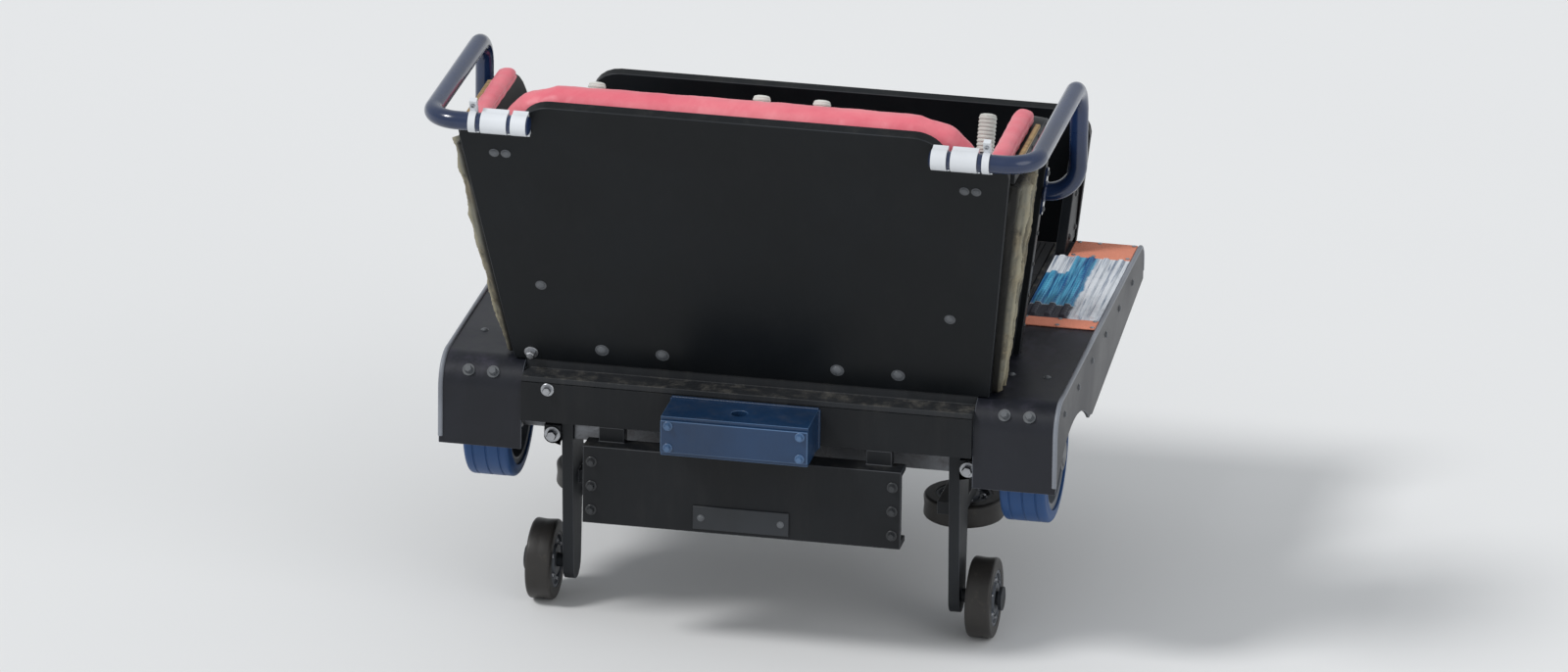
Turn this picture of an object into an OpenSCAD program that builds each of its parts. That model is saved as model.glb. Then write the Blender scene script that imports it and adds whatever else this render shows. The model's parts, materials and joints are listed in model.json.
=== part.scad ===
// Roller coaster car: one bench for two riders on a single axle, drawn by the car ahead.
// X points to the car's right, Y forward and Z up. The origin lies on the plane of the
// rail tops, midway between the rails and straight under the axle.

/* [Track] */
// Distance between the centres of the two rails
gauge = 1067; // [1040:1:1090]
// Depth of the rail ledge that the upstop wheels run under
ledge_depth = 98; // [90:1:110]
// Distance of the guide wheels' running face from a rail's centre
guide_face = 84; // [78:1:90]

/* [Wheels] */
// Diameter of a running wheel
run_d = 270; // [262:1:280]
// Width of a running tyre
run_w = 94; // [84:1:100]
// Thickness of a running tyre
tyre_t = 24; // [16:1:30]
// Diameter of the axle's spindles
spindle_d = 44; // [36:1:50]
// Clear height between a running wheel and the fender above it
wheel_head = 24; // [18:1:34]
// Clear width between a running wheel and the fender's skirt
wheel_side = 25.5; // [20:0.5:34]
// Diameter of a guide wheel
guide_d = 160; // [150:1:170]
// Width of a guide wheel
guide_w = 46; // [38:1:50]
// Depth of a guide wheel's middle below the rail tops
guide_drop = 45; // [42:1:50]
// Diameter of a guide wheel's spindle
guide_pin_d = 26; // [22:1:32]
// Diameter of an upstop wheel
upstop_d = 160; // [150:1:170]
// Width of an upstop wheel
upstop_w = 50; // [42:1:52]
// Diameter of an upstop wheel's spindle
upstop_pin_d = 28; // [24:1:34]
// Thickness of the plates that carry the wheels
carrier_t = 22; // [18:1:26]

/* [Chassis] */
// Height and width of the axle beam
axle_beam = 80; // [70:1:90]
// Height of the saddles between the axle beam and the chassis
saddle_h = 15; // [10:1:25]
// Height of the chassis rails
rail_h = 80; // [70:1:90]
// Width of a chassis rail
rail_w = 50; // [40:1:60]
// Reach of the chassis behind the axle
chassis_back = 205; // [200:1:215]
// Front end of the chassis
chassis_front = 780; // [770:1:800]
// Diameter of the coupling pins
hitch_pin_d = 32; // [26:1:36]
// Distance of the coupling pin behind the chassis
pin_back = 57; // [52:1:64]
// Distance from one car's coupling to the next
car_pitch = 1130; // [1120:1:1150]
// Width of the coupler box
coupler_w = 290; // [260:1:310]
// Width of the cross-member under the car's rear
member_w = 630; // [600:1:660]

/* [Tub] */
// Thickness of the floor
floor_t = 12; // [8:1:14]
// Outward lean of the sides
side_lean = 6.5; // [4:0.5:8]
// Thickness of the sides
side_t = 20; // [14:1:24]
// Rear edge of the doorway
door_rear = 112; // [100:1:116]
// Front edge of the doorway
door_front = 660; // [655:1:680]
// Radius of the doorway's upper rear corner
door_r = 150; // [110:1:180]
// Height and width of the rims round the sides' edges
rim = 24; // [18:1:30]
// Backward lean of the seat back
back_lean = 21; // [17:0.5:24]
// Reach of the back panel's lower edge behind the axle
back_foot = 155; // [145:1:162]
// Height of the back panel's shoulders along its slope
shoulder_h = 588; // [560:1:610]
// Rise of the back panel's middle above its shoulders
crown_h = 59; // [40:1:70]
// Width over which each shoulder drops
crown_w = 105; // [80:1:120]
// Thickness of the back panel
back_t = 22; // [16:1:26]
// Backward lean of the front panel
front_lean = 15; // [10:0.5:18]
// Height of the front panel along its slope
front_h = 330; // [300:1:350]
// Thickness of the front panel
front_t = 20; // [14:1:24]

/* [Seat] */
// Height of the seat cushions' top above the floor
seat_rise = 208; // [195:1:220]
// Thickness of the seat cushions
cushion_t = 90; // [70:1:100]
// Front edge of the seat cushions
seat_front = 350; // [330:1:370]
// Thickness of the back pad
pad_t = 76; // [70:1:95]
// Radius of the back pad's rolled top
roll_r = 40; // [34:1:44]

/* [Fenders] */
// Thickness of the fenders' sheet
fender_t = 6; // [4:1:8]
// Reach of the fenders behind the axle
fender_back = 195; // [188:1:202]
// Front face of the fenders
fender_front = 768; // [755:1:770]
// Length of the ribbed tread on a fender
tread_l = 350; // [320:1:360]
// Rear edge of the ribbed tread
tread_rear = 300; // [290:1:310]
// Thickness of the tread plate
tread_t = 4; // [3:1:6]
// Length of the plain band behind the tread
rear_band = 46; // [40:1:46]

/* [Rails and bars] */
// Diameter of the grab rails' tube
tube_d = 36; // [30:1:38]
// Radius of the grab rails' bends
tube_bend = 60; // [50:1:75]
// Height of the grab rails' front ends above the fenders
tube_foot = 340; // [320:1:350]
// Place of the lap bars' pivots
bar_y = 530; // [520:1:540]
// Height of the lap bars' pivots above the floor
bar_rise = 48; // [44:1:56]
// Reach of a lap bar from its pivot
bar_reach = 480; // [460:1:490]
// Slope of a lap bar at rest, above the level behind it
bar_slope = 43; // [42:0.5:46]

/* [Hidden] */
$fn = 48;
// Running clearance at wheels and pins, and gap between seated pieces
run_gap = 0.05;
seam = 0.3;
far = 2000;
axle_z = run_d / 2;
beam_r = axle_beam / 2;
rail_low = axle_z + beam_r + saddle_h;
rail_top = rail_low + rail_h;
hitch_z = rail_low + 35;
chassis_rear = -chassis_back;
rear_pin_y = chassis_rear - pin_back;
box_rear = rear_pin_y - 48;
tyre_in = gauge / 2 - run_w / 2;
tyre_out = gauge / 2 + run_w / 2;
carrier_out = tyre_in - 89.5;
carrier_x = carrier_out - carrier_t;
rail_x = carrier_x - 30 - rail_w / 2;
upstop_x = carrier_out + 18 + upstop_w / 2;
upstop_z = -ledge_depth - upstop_d / 2;
guide_x = gauge / 2 - guide_face - guide_d / 2;
guide_y = guide_d / 2 + 70;
guide_z = -guide_drop;
floor_x = tyre_in - 40.5;
floor_top = rail_top + floor_t;
floor_front = chassis_front + 20;
fender_in = floor_x + 1;
fender_out = tyre_out + wheel_side + fender_t;
fender_z = run_d + wheel_head + fender_t;
fender_rear = -fender_back;
sill_z = fender_z + seam;
tub_in = fender_in + 3;
tub_x = tub_in + side_t;
back_y = -back_foot;
back_h = shoulder_h + crown_h;
shoulder_x = tub_x - 10;
back_top_x = shoulder_x - crown_w;
side_h = (shoulder_h * cos(back_lean) - 17) / cos(side_lean);
seat_z = floor_top + seat_rise;
bar_x = tub_in / 2;
bar_z = floor_top + bar_rise;
// Stand of the sides' rims out from the sides
rim_out = 14;
// The grab rails: height and rear place of their middle, distance from the car's middle, front end
tube_r = tube_d / 2;
tube_z = sill_z + shoulder_h * cos(back_lean) + 20;
tube_rear = back_y - (tube_z - sill_z) * tan(back_lean) - tube_r / cos(back_lean) - 4;
tube_x = fender_out - tube_r - 4;
tube_leg_y = door_rear - rim / 2;
tube_foot_z = sill_z + tube_foot;

// Points of an arc about (cx, cy), from angle a to angle b
function arc(cx, cy, r, a, b, n = 8) =
    [for (i = [0:n]) let (t = a + (b - a) * i / n) [cx + r * cos(t), cy + r * sin(t)]];

// Draws on the right, or mirrored on the left
module on_side(side) {
    if (side > 0) children();
    else mirror([1, 0, 0]) children();
}

// A block from its lowest to its highest corner
module block(a, b) {
    translate(a) cube(b - a);
}

// A rod along X between two places
module rod_x(x0, x1, y, z, r) {
    translate([x0, y, z]) rotate([0, 90, 0]) cylinder(r = r, h = x1 - x0);
}

// A profile in Y and Z, extruded along X from x0 to x1
module profile_x(x0, x1) {
    translate([x0, 0, 0]) rotate([90, 0, 90]) linear_extrude(x1 - x0) children();
}

// Frame of the back panel: X across, Y up its slope, Z out of its rear face
module on_back() {
    translate([0, back_y, sill_z]) rotate([90 + back_lean, 0, 0]) children();
}

// Frame of the front panel: X across, Y up its slope, Z into the tub from its front face
module on_front() {
    translate([0, floor_front, floor_top + seam]) rotate([90 + front_lean, 0, 0]) children();
}

// Frame of a side: X out of its outer face, Y forward, Z up its slope
module on_tub_side() {
    translate([tub_x, 0, sill_z]) rotate([0, side_lean, 0]) children();
}

// Points of an S-curve that drops by h over a width w, from its top at the origin
function drop_turn(w, h) = 2 * atan(h / w);
function drop_curve(w, h, n = 6) = let (a = drop_turn(w, h), r = w / (2 * sin(a)))
    concat(arc(0, -r, r, 90, 90 - a, n), arc(w, r - h, r, 270 - a, 270, n));
function mirrored(points) = [for (i = [len(points) - 1:-1:0]) [-points[i][0], points[i][1]]];

// Everything behind the front face of the back panel
module behind_back() {
    on_back() translate([-far / 2, -far / 2, -back_t - seam]) cube(far);
}

// Everything ahead of the inner face of the front panel
module ahead_of_front() {
    on_front() translate([-far / 2, -far / 2, front_t + seam - far]) cube(far);
}

module chassis_frame() {
    beam = 40;
    step_end = fender_out - fender_t - 4;
    color("#1b1d20") {
        for (side = [-1, 1]) on_side(side) {
            block([rail_x - rail_w / 2, chassis_rear, rail_low],
                [rail_x + rail_w / 2, chassis_front, rail_top]);
            block([rail_x - 24, -beam_r - 10, axle_z + beam_r], [rail_x + 24, beam_r + 10, rail_low]);
        }
        for (y = [chassis_rear, chassis_front - beam])
            block([-floor_x, y, rail_low], [floor_x, y + beam, rail_top]);
        for (y = [chassis_front - 490, chassis_front - 220]) {
            block([-floor_x, y, rail_top - beam], [floor_x, y + beam, rail_top]);
            for (side = [-1, 1]) on_side(side)
                block([floor_x, y, rail_top - beam], [step_end, y + beam, fender_z - fender_t - seam]);
        }
    }
}

module drawbar() {
    eye_y = car_pitch + rear_pin_y;
    eye_r = hitch_pin_d / 2 + 24;
    color("#2a2c2f") difference() {
        union() {
            block([-30, chassis_front, hitch_z - 20], [30, eye_y, hitch_z + 20]);
            block([-70, chassis_front, hitch_z - 30], [70, chassis_front + 14, hitch_z + 30]);
            translate([0, eye_y, hitch_z - 20]) cylinder(r = eye_r, h = 40);
        }
        translate([0, eye_y, hitch_z - 21]) cylinder(d = hitch_pin_d + 1, h = 42);
    }
}

module coupler_box() {
    x = coupler_w / 2;
    wall = 15;
    low = hitch_z - 40;
    high = hitch_z + 40;
    color("#1d3550") difference() {
        block([-x, box_rear, low], [x, chassis_rear - seam, high]);
        block([wall - x, box_rear - 1, low + wall], [x - wall, chassis_rear - 12, high - wall]);
        translate([0, rear_pin_y, low - 1]) cylinder(d = hitch_pin_d, h = high - low + 2);
    }
}

// Plate over the mouth of the coupler box, taken off to couple a car behind
module coupler_cover() {
    x = coupler_w / 2;
    color("#1d3550") block([-x, box_rear - 6, hitch_z - 33], [x, box_rear - seam, hitch_z + 33]);
}

// Rear face of the cross-member under the coupler box
member_y = chassis_rear - 30;

module rear_cross_member() {
    x = member_w / 2;
    top = rail_low - 30;
    color("#191b1e") {
        block([-x, member_y, 0], [x, member_y + 12, top]);
        for (z = [0, top - 12]) block([-x, member_y, z], [x, member_y + 50, z + 12]);
        for (side = [-1, 1]) on_side(side)
            block([rail_x - 80, chassis_rear, 12], [rail_x - 30, chassis_rear + 30, rail_low - seam]);
    }
}

module number_plate() {
    color("#26282b") block([-95, member_y - 4, 8], [95, member_y - seam, 56]);
}

module axle() {
    r = spindle_d / 2;
    color("#3a3d41") {
        block([-carrier_x + seam, -beam_r, axle_z - beam_r], [carrier_x - seam, beam_r, axle_z + beam_r]);
        for (side = [-1, 1]) on_side(side) {
            rod_x(carrier_x - 2, tyre_out + 14, 0, axle_z, r);
            rod_x(carrier_out + seam, tyre_in - 4, 0, axle_z, r + 10);
            rod_x(tyre_out + 2, tyre_out + 12, 0, axle_z, r + 10);
        }
    }
}

// Plate that hangs from the axle's end and holds a guide wheel and an upstop wheel
module wheel_carrier(side) {
    arm_t = 26;
    arm_low = guide_z + guide_w / 2 + 10;
    pin_low = guide_z - guide_w / 2 - 16;
    pin_end = upstop_x + upstop_w / 2 + 14;
    color("#2b2e31") on_side(side) difference() {
        union() {
            profile_x(carrier_x, carrier_out) polygon(concat(
                arc(0, axle_z, beam_r + saddle_h - 1, 0, 180),
                arc(0, upstop_z, upstop_pin_d / 2 + 20, 180, 360)
            ));
            block([guide_x - arm_t, 0, arm_low], [carrier_out, guide_y, arm_low + arm_t]);
            translate([guide_x, guide_y, arm_low]) cylinder(r = arm_t, h = arm_t);
            translate([guide_x, guide_y, pin_low]) cylinder(d = guide_pin_d, h = arm_low - pin_low + 1);
            translate([guide_x, guide_y, pin_low]) cylinder(d = guide_pin_d + 20, h = 10);
            rod_x(carrier_out - 2, pin_end, 0, upstop_z, upstop_pin_d / 2);
            rod_x(pin_end - 8, pin_end, 0, upstop_z, upstop_pin_d / 2 + 10);
        }
        rod_x(carrier_x - 30, carrier_out + 30, 0, axle_z, spindle_d / 2 + run_gap);
    }
}

// A wheel's rim, web and boss about X, from its middle
module hub_shape(r, bore_r, w) {
    boss = bore_r + 16;
    rim_r = r - 14;
    color("#50555b") rotate([0, 90, 0]) difference() {
        rotate_extrude() polygon([
            [bore_r, -w / 2], [boss, -w / 2], [boss, -9], [rim_r, -9], [rim_r, 4 - w / 2],
            [r, 4 - w / 2], [r, w / 2 - 4], [rim_r, w / 2 - 4], [rim_r, 9], [boss, 9],
            [boss, w / 2], [bore_r, w / 2]
        ]);
        for (i = [0:4]) rotate(i * 72) translate([(rim_r + boss) / 2, 0, -10]) cylinder(r = 13, h = 20);
    }
}

// A tyre with rounded shoulders about X, from its middle
module tyre_shape(r, inner_r, w, round_r) {
    rotate([0, 90, 0]) rotate_extrude(convexity = 4) polygon(concat(
        [[inner_r, -w / 2]], arc(r - round_r, -w / 2 + round_r, round_r, -90, 0, 4),
        arc(r - round_r, w / 2 - round_r, round_r, 0, 90, 4), [[inner_r, w / 2]]
    ));
}

module running_hub(side) {
    on_side(side) translate([gauge / 2, 0, axle_z])
        hub_shape(run_d / 2 - tyre_t, spindle_d / 2 + run_gap, run_w);
}

module running_tyre(side) {
    color("#22487a") on_side(side) translate([gauge / 2, 0, axle_z])
        tyre_shape(run_d / 2, run_d / 2 - tyre_t + 0.2, run_w, 8);
}

module guide_wheel(side) {
    color("#7a6a3a") on_side(side) translate([guide_x, guide_y, guide_z]) rotate([0, 90, 0])
        tyre_shape(guide_d / 2, guide_pin_d / 2 + run_gap, guide_w, 6);
}

module upstop_wheel(side) {
    color("#7a6a3a") on_side(side) translate([upstop_x, 0, upstop_z])
        tyre_shape(upstop_d / 2, upstop_pin_d / 2 + run_gap, upstop_w, 6);
}

module floor_pan() {
    color("#202225") {
        block([-floor_x, chassis_rear + 2, rail_top], [floor_x, floor_front, floor_top]);
        block([-floor_x, back_y + 2, floor_top - 1], [floor_x, back_y + 14, fender_z]);
    }
}

module seat_base() {
    wall = 14;
    x = floor_x - 6;
    low = floor_top + seam;
    high = seat_z - cushion_t - seam;
    rear = back_y + 27;
    front = seat_front - 40;
    color("#25221f") difference() {
        block([-x, rear, low], [x, front, high]);
        for (side = [-1, 1]) on_side(side)
            block([wall / 2, rear - 1, low - 1], [x - wall, front - wall, high - wall]);
    }
}

module back_panel() {
    r = 26;
    wide_x = tub_x + shoulder_h * tan(side_lean);
    half = concat(
        [for (point = drop_curve(crown_w, crown_h)) [back_top_x + point[0], back_h + point[1]]],
        arc(wide_x - r, shoulder_h - r, r, 90, 0, 5), [[tub_x, 0]]
    );
    color("#121315") on_back() translate([0, 0, -back_t]) linear_extrude(back_t)
        polygon(concat(mirrored(half), half));
}

// The back pad: a flat cushion under a roll that drops at both ends as the panel's top does
module back_pad() {
    rear = -back_t - seam;
    low_y = back_h - 457;
    top_y = back_h - roll_r - 1;
    end_x = shoulder_x - 32;
    drop = 45;
    half = [[back_top_x, top_y], [end_x + 8, top_y - drop - 10], [end_x - 22, low_y]];
    color("#c9596c") on_back() {
        translate([0, 0, rear - pad_t]) linear_extrude(pad_t) polygon(concat(mirrored(half), half));
        translate([0, 0, rear - roll_r - 1]) {
            rod_x(-back_top_x, back_top_x, top_y, 0, roll_r);
            for (side = [-1, 1]) on_side(side) hull() {
                translate([back_top_x - 6, top_y, 0]) sphere(roll_r - 0.5, $fn = 32);
                translate([(back_top_x + end_x) / 2 + 8, top_y - 18, 0]) sphere(roll_r - 0.5, $fn = 32);
                translate([end_x, top_y - drop, 0]) sphere(roll_r - 4, $fn = 32);
            }
        }
    }
}

module seat_cushion(side) {
    r = 34;
    low = seat_z - cushion_t;
    color("#b84d60") on_side(side) hull()
        for (x = [8 + r, floor_x - 14 - r], y = [back_y + 54, seat_front - r]) {
            translate([x, y, low]) cylinder(r = r, h = 20, $fn = 24);
            translate([x, y, seat_z - r]) sphere(r = r, $fn = 20);
        }
}

// Outline of a side behind the doorway in Y and Z, drawn in by i at its top and its front
function side_outline(i) = concat(
    [[-far / 4, 0], [door_rear - i, 0]], arc(door_rear - door_r, side_h - door_r, door_r - i, 0, 90),
    [[-far / 4, side_h - i]]
);

module side_panel(side) {
    color("#17191c") on_side(side) difference() {
        on_tub_side() {
            profile_x(-side_t, 0) polygon(side_outline(0));
            difference() {
                profile_x(-1, rim_out) polygon(side_outline(0));
                profile_x(-2, rim_out + 1) translate([0, -1]) polygon(side_outline(rim));
            }
        }
        behind_back();
        translate([-far / 2, -far / 2, sill_z - far]) cube(far);
    }
}

// Root-like carving on the rear part of a side
module carved_panel(side) {
    slab = 10;
    high = side_h - rim - 10;
    // Columns: place at the bottom, place at the top, radius at the bottom, radius at the top
    roots = [[-168, -348, 16, 30], [-134, -286, 18, 36], [-100, -216, 16, 34], [-72, -154, 11, 30]];
    color("#7d6238") on_side(side) difference() {
        on_tub_side() {
            profile_x(seam, slab) polygon(concat(
                [[-far / 4, 6], [-60, 6], [-104, 160]], arc(30, high - 60, 180, 205, 160, 5),
                [[-150, high], [-far / 4, high]]
            ));
            for (root = roots) intersection() {
                translate([slab - 4, root[0], 10]) rotate([-atan2(root[1] - root[0], high), 0, 0])
                    cylinder(r1 = root[2], r2 = root[3], h = norm([root[1] - root[0], high]));
                translate([seam, -far / 2, 6]) cube([60, far, high - 6]);
                profile_x(0, 80) polygon(side_outline(rim + 2));
            }
        }
        behind_back();
    }
}

module armrest_pad(side) {
    r = 18;
    color("#c9596c") on_side(side) difference() {
        on_tub_side() translate([-side_t / 2 - 12, 0, side_h + seam]) hull()
            for (y = [back_y - 285, door_rear - door_r - 20], x = [-5, 5]) {
                translate([x, y, 0]) cylinder(r = r, h = 10, $fn = 24);
                translate([x, y, 12]) sphere(r = r, $fn = 20);
            }
        on_tub_side() translate([-far / 2, -far / 2, side_h + seam - far]) cube(far);
        behind_back();
    }
}

module front_panel() {
    low_x = tub_x;
    high_x = tub_x + front_h * tan(side_lean);
    r = 60;
    color("#17191c") difference() {
        on_front() linear_extrude(front_t) polygon(concat(
            [[-low_x, -20], [low_x, -20], [low_x, 0]],
            arc(high_x - r, front_h - r, r, 0, 90, 6), arc(r - high_x, front_h - r, r, 90, 180, 6),
            [[-low_x, 0]]
        ));
        translate([-far / 2, -far / 2, floor_top + seam - far]) cube(far);
    }
}

module front_wing(side) {
    r = 110;
    high = front_h - 60;
    color("#17191c") on_side(side) difference() {
        on_tub_side() profile_x(-side_t, 0) polygon(concat(
            [[far / 2, 0], [far / 2, high]], arc(door_front + r, high - r, r, 90, 180), [[door_front, 0]]
        ));
        ahead_of_front();
        translate([-far / 2, -far / 2, sill_z - far]) cube(far);
    }
}

// Outline of a fender in Y and Z, drawn in by i
function fender_outline(i, low) = concat(
    [[fender_rear + i, low]], arc(fender_rear + 60, fender_z - 60, 60 - i, 180, 90),
    arc(fender_front - 30, fender_z - 30, 30 - i, 90, 0), [[fender_front - i, low]]
);

// The skirt's lower edge arches over the wheel, turns through a small arc and rises to the front
module fender(side) {
    arch_r = run_d / 2 + 131;
    arch_z = axle_z + 75 - arch_r;
    tip_y = arch_r * 0.62;
    tip_z = arch_z + arch_r * 0.78;
    color("#3c4045") on_side(side) difference() {
        profile_x(fender_in, fender_out) polygon(fender_outline(0, arch_z + 120));
        profile_x(fender_in - 1, fender_out - fender_t) polygon(fender_outline(fender_t, arch_z));
        rod_x(fender_in - 2, fender_out + 1, 0, arch_z, arch_r);
        profile_x(fender_in - 2, fender_out + 1) polygon(concat(
            [[tip_y - 20, arch_z], [tip_y - 20, tip_z - 1]],
            arc(tip_y + 40, tip_z + 24, 30, 235, 285, 4),
            [[fender_front + 1, tip_z + 74], [fender_front + 1, arch_z]]
        ));
    }
}

module tread(side) {
    ribs = 5;
    rib_w = 14;
    low_x = fender_in + 6;
    high_x = fender_out - 8;
    front = tread_rear + tread_l;
    color("#cfd4d8") on_side(side) {
        block([low_x, tread_rear, fender_z + seam], [high_x, front, fender_z + tread_t]);
        for (i = [0:ribs - 1]) {
            x = low_x + 9 + i * (high_x - low_x - 18 - rib_w) / (ribs - 1);
            block([x, tread_rear + 6, fender_z + 2], [x + rib_w, front - 6, fender_z + tread_t + 5]);
        }
    }
}

module tread_bands() {
    // Columns: rear edge, front edge, inner edge
    bands = [
        [tread_rear - rear_band, tread_rear - seam, fender_in + 6],
        [tread_rear + tread_l + seam, fender_front - 26, tub_x + 8]
    ];
    color("#c98a63") for (side = [-1, 1], band = bands) on_side(side)
        block([band[2], band[0], fender_z + seam], [fender_out - 8, band[1], fender_z + tread_t]);
}

module grab_rail(side) {
    corner_y = tube_rear + tube_bend;
    foot_bend_z = tube_foot_z + tube_bend;
    color("#1f3a66") on_side(side) {
        rod_x(shoulder_x - 68, tube_x - tube_bend, tube_rear, tube_z, tube_r);
        translate([tube_x - tube_bend, corner_y, tube_z]) rotate(-90)
            rotate_extrude(angle = 90) translate([tube_bend, 0]) circle(tube_r);
        translate([tube_x, corner_y, tube_z]) rotate([-90, 0, 0])
            cylinder(r = tube_r, h = tube_leg_y - tube_bend - corner_y);
        translate([tube_x, tube_leg_y - tube_bend, tube_z - tube_bend]) rotate([90, 0, 90])
            rotate_extrude(angle = 90) translate([tube_bend, 0]) circle(tube_r);
        translate([tube_x, tube_leg_y, foot_bend_z])
            cylinder(r = tube_r, h = tube_z - tube_bend - foot_bend_z);
        translate([tube_x - tube_bend, tube_leg_y, foot_bend_z]) rotate([-90, 0, 0])
            rotate_extrude(angle = 90) translate([tube_bend, 0]) circle(tube_r);
        difference() {
            rod_x(tub_x, tube_x - tube_bend, tube_leg_y, tube_foot_z, tube_r);
            on_tub_side() translate([rim_out + seam - far, -far / 2, -far / 2]) cube(far);
        }
    }
}

// Clamps that hold the grab rails to the back panel's shoulders
module rail_clamps() {
    // Columns: place across from the shoulder, width, rise of its plate above the tube
    clamps = [[-66, 30, 0], [-28, 51, 0], [33, 14, 24]];
    strap_t = 3;
    plate_t = 12;
    low = shoulder_h - 6;
    tube_v = (tube_z - sill_z) * cos(back_lean) - (tube_rear - back_y) * sin(back_lean);
    tube_out = -(tube_z - sill_z) * sin(back_lean) - (tube_rear - back_y) * cos(back_lean);
    color("#e8ebee") for (side = [-1, 1]) on_side(side) difference() {
        on_back() for (clamp = clamps) {
            x = shoulder_x + clamp[0];
            top = tube_v + tube_r + clamp[2];
            rod_x(x, x + clamp[1], tube_v, tube_out, tube_r + strap_t);
            profile_x(x, x + clamp[1])
                polygon([[low, seam], [top, seam], [top, plate_t], [low, plate_t]]);
        }
        rod_x(shoulder_x - 80, shoulder_x + 80, tube_rear, tube_z, tube_r + seam);
    }
}

module lap_bar_brackets() {
    pin_r = 10;
    color("#4a4e53") for (side = [-1, 1]) on_side(side) {
        block([bar_x - 50, bar_y - 50, floor_top + seam], [bar_x + 50, bar_y + 50, floor_top + 10]);
        for (x = [bar_x - 40, bar_x + 28]) profile_x(x, x + 12)
            polygon(concat(
                [[bar_y - 34, floor_top + 8], [bar_y + 34, floor_top + 8]], arc(bar_y, bar_z, 24, 0, 180)
            ));
        rod_x(bar_x - 46, bar_x + 46, bar_y, bar_z, pin_r);
    }
}

// Draws a lap bar's pieces in its own frame: the reach runs along Z from the pivot
module on_bar(side) {
    on_side(side) translate([bar_x, bar_y, bar_z]) rotate([90 - bar_slope, 0, 0]) children();
}

module lap_bar(side) {
    pin_r = 10;
    half = bar_x - 60;
    grip = 95;
    color("#6a6f75") on_bar(side) difference() {
        union() {
            rod_x(-26, 26, 0, 0, 22);
            cylinder(r = 17, h = bar_reach);
            rod_x(-half, half, 0, bar_reach, 14);
            for (x = [-half, half]) {
                translate([x, 0, bar_reach]) sphere(r = 16);
                translate([x, 0, bar_reach]) rotate([-70, 0, 0]) cylinder(r = 14, h = grip);
            }
        }
        rod_x(-30, 30, 0, 0, pin_r + run_gap);
    }
}

module lap_bar_pad(side) {
    r = 40;
    half = bar_x - 85;
    color("#1a1b1e") on_bar(side) difference() {
        translate([0, 0, bar_reach]) rotate([0, 90, 0]) rotate_extrude() polygon(concat(
            [[14 + seam, -half]], arc(r - 16, 16 - half, 16, -90, 0, 4),
            arc(r - 16, half - 16, 16, 0, 90, 4), [[14 + seam, half]]
        ));
        translate([0, 0, bar_reach - 60]) cylinder(r = 17 + seam, h = 60);
    }
}

chassis_frame();
drawbar();
coupler_box();
coupler_cover();
rear_cross_member();
number_plate();
axle();
wheel_carrier(-1);  // wheel_carrier_left
wheel_carrier(1);  // wheel_carrier_right
running_hub(-1);  // running_hub_left
running_hub(1);  // running_hub_right
running_tyre(-1);  // running_tyre_left
running_tyre(1);  // running_tyre_right
guide_wheel(-1);  // guide_wheel_left
guide_wheel(1);  // guide_wheel_right
upstop_wheel(-1);  // upstop_wheel_left
upstop_wheel(1);  // upstop_wheel_right
floor_pan();
seat_base();
back_panel();
back_pad();
seat_cushion(-1);  // seat_cushion_left
seat_cushion(1);  // seat_cushion_right
side_panel(-1);  // side_panel_left
side_panel(1);  // side_panel_right
carved_panel(-1);  // carved_panel_left
carved_panel(1);  // carved_panel_right
armrest_pad(-1);  // armrest_pad_left
armrest_pad(1);  // armrest_pad_right
front_panel();
front_wing(-1);  // front_wing_left
front_wing(1);  // front_wing_right
fender(-1);  // fender_left
fender(1);  // fender_right
tread(-1);  // tread_left
tread(1);  // tread_right
tread_bands();
grab_rail(-1);  // grab_rail_left
grab_rail(1);  // grab_rail_right
rail_clamps();
lap_bar_brackets();
lap_bar(-1);  // lap_bar_left
lap_bar(1);  // lap_bar_right
lap_bar_pad(-1);  // lap_bar_pad_left
lap_bar_pad(1);  // lap_bar_pad_right
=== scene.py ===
import json
import math

import bmesh
import bpy
import numpy as np
from mathutils import Matrix, Vector, noise
from mathutils.bvhtree import BVHTree

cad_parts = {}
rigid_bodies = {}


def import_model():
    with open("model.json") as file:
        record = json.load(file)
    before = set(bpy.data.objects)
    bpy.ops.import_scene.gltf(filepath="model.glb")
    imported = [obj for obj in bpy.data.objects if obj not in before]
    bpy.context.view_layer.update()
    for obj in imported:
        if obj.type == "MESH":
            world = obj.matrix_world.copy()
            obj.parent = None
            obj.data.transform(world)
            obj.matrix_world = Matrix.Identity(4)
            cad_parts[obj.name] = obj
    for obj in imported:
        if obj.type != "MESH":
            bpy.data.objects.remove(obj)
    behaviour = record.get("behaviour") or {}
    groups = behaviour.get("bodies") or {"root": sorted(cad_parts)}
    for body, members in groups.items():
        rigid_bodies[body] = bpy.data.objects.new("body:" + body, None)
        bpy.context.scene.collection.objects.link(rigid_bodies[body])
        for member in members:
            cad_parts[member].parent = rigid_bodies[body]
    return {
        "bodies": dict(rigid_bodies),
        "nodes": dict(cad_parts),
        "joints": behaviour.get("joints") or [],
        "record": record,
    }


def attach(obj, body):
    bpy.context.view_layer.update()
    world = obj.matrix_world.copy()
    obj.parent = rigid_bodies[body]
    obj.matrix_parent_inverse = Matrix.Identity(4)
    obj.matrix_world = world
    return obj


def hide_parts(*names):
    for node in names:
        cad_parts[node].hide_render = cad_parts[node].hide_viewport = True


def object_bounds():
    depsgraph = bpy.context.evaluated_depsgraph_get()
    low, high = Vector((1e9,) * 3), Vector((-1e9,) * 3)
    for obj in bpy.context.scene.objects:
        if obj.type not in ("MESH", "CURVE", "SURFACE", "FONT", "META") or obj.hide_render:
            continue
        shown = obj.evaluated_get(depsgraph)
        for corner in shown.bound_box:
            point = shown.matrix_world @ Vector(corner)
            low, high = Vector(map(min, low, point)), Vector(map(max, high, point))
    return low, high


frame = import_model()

scene = bpy.context.scene
nodes = frame["nodes"]
record = frame["record"]
cad_low, cad_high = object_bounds()
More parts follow.
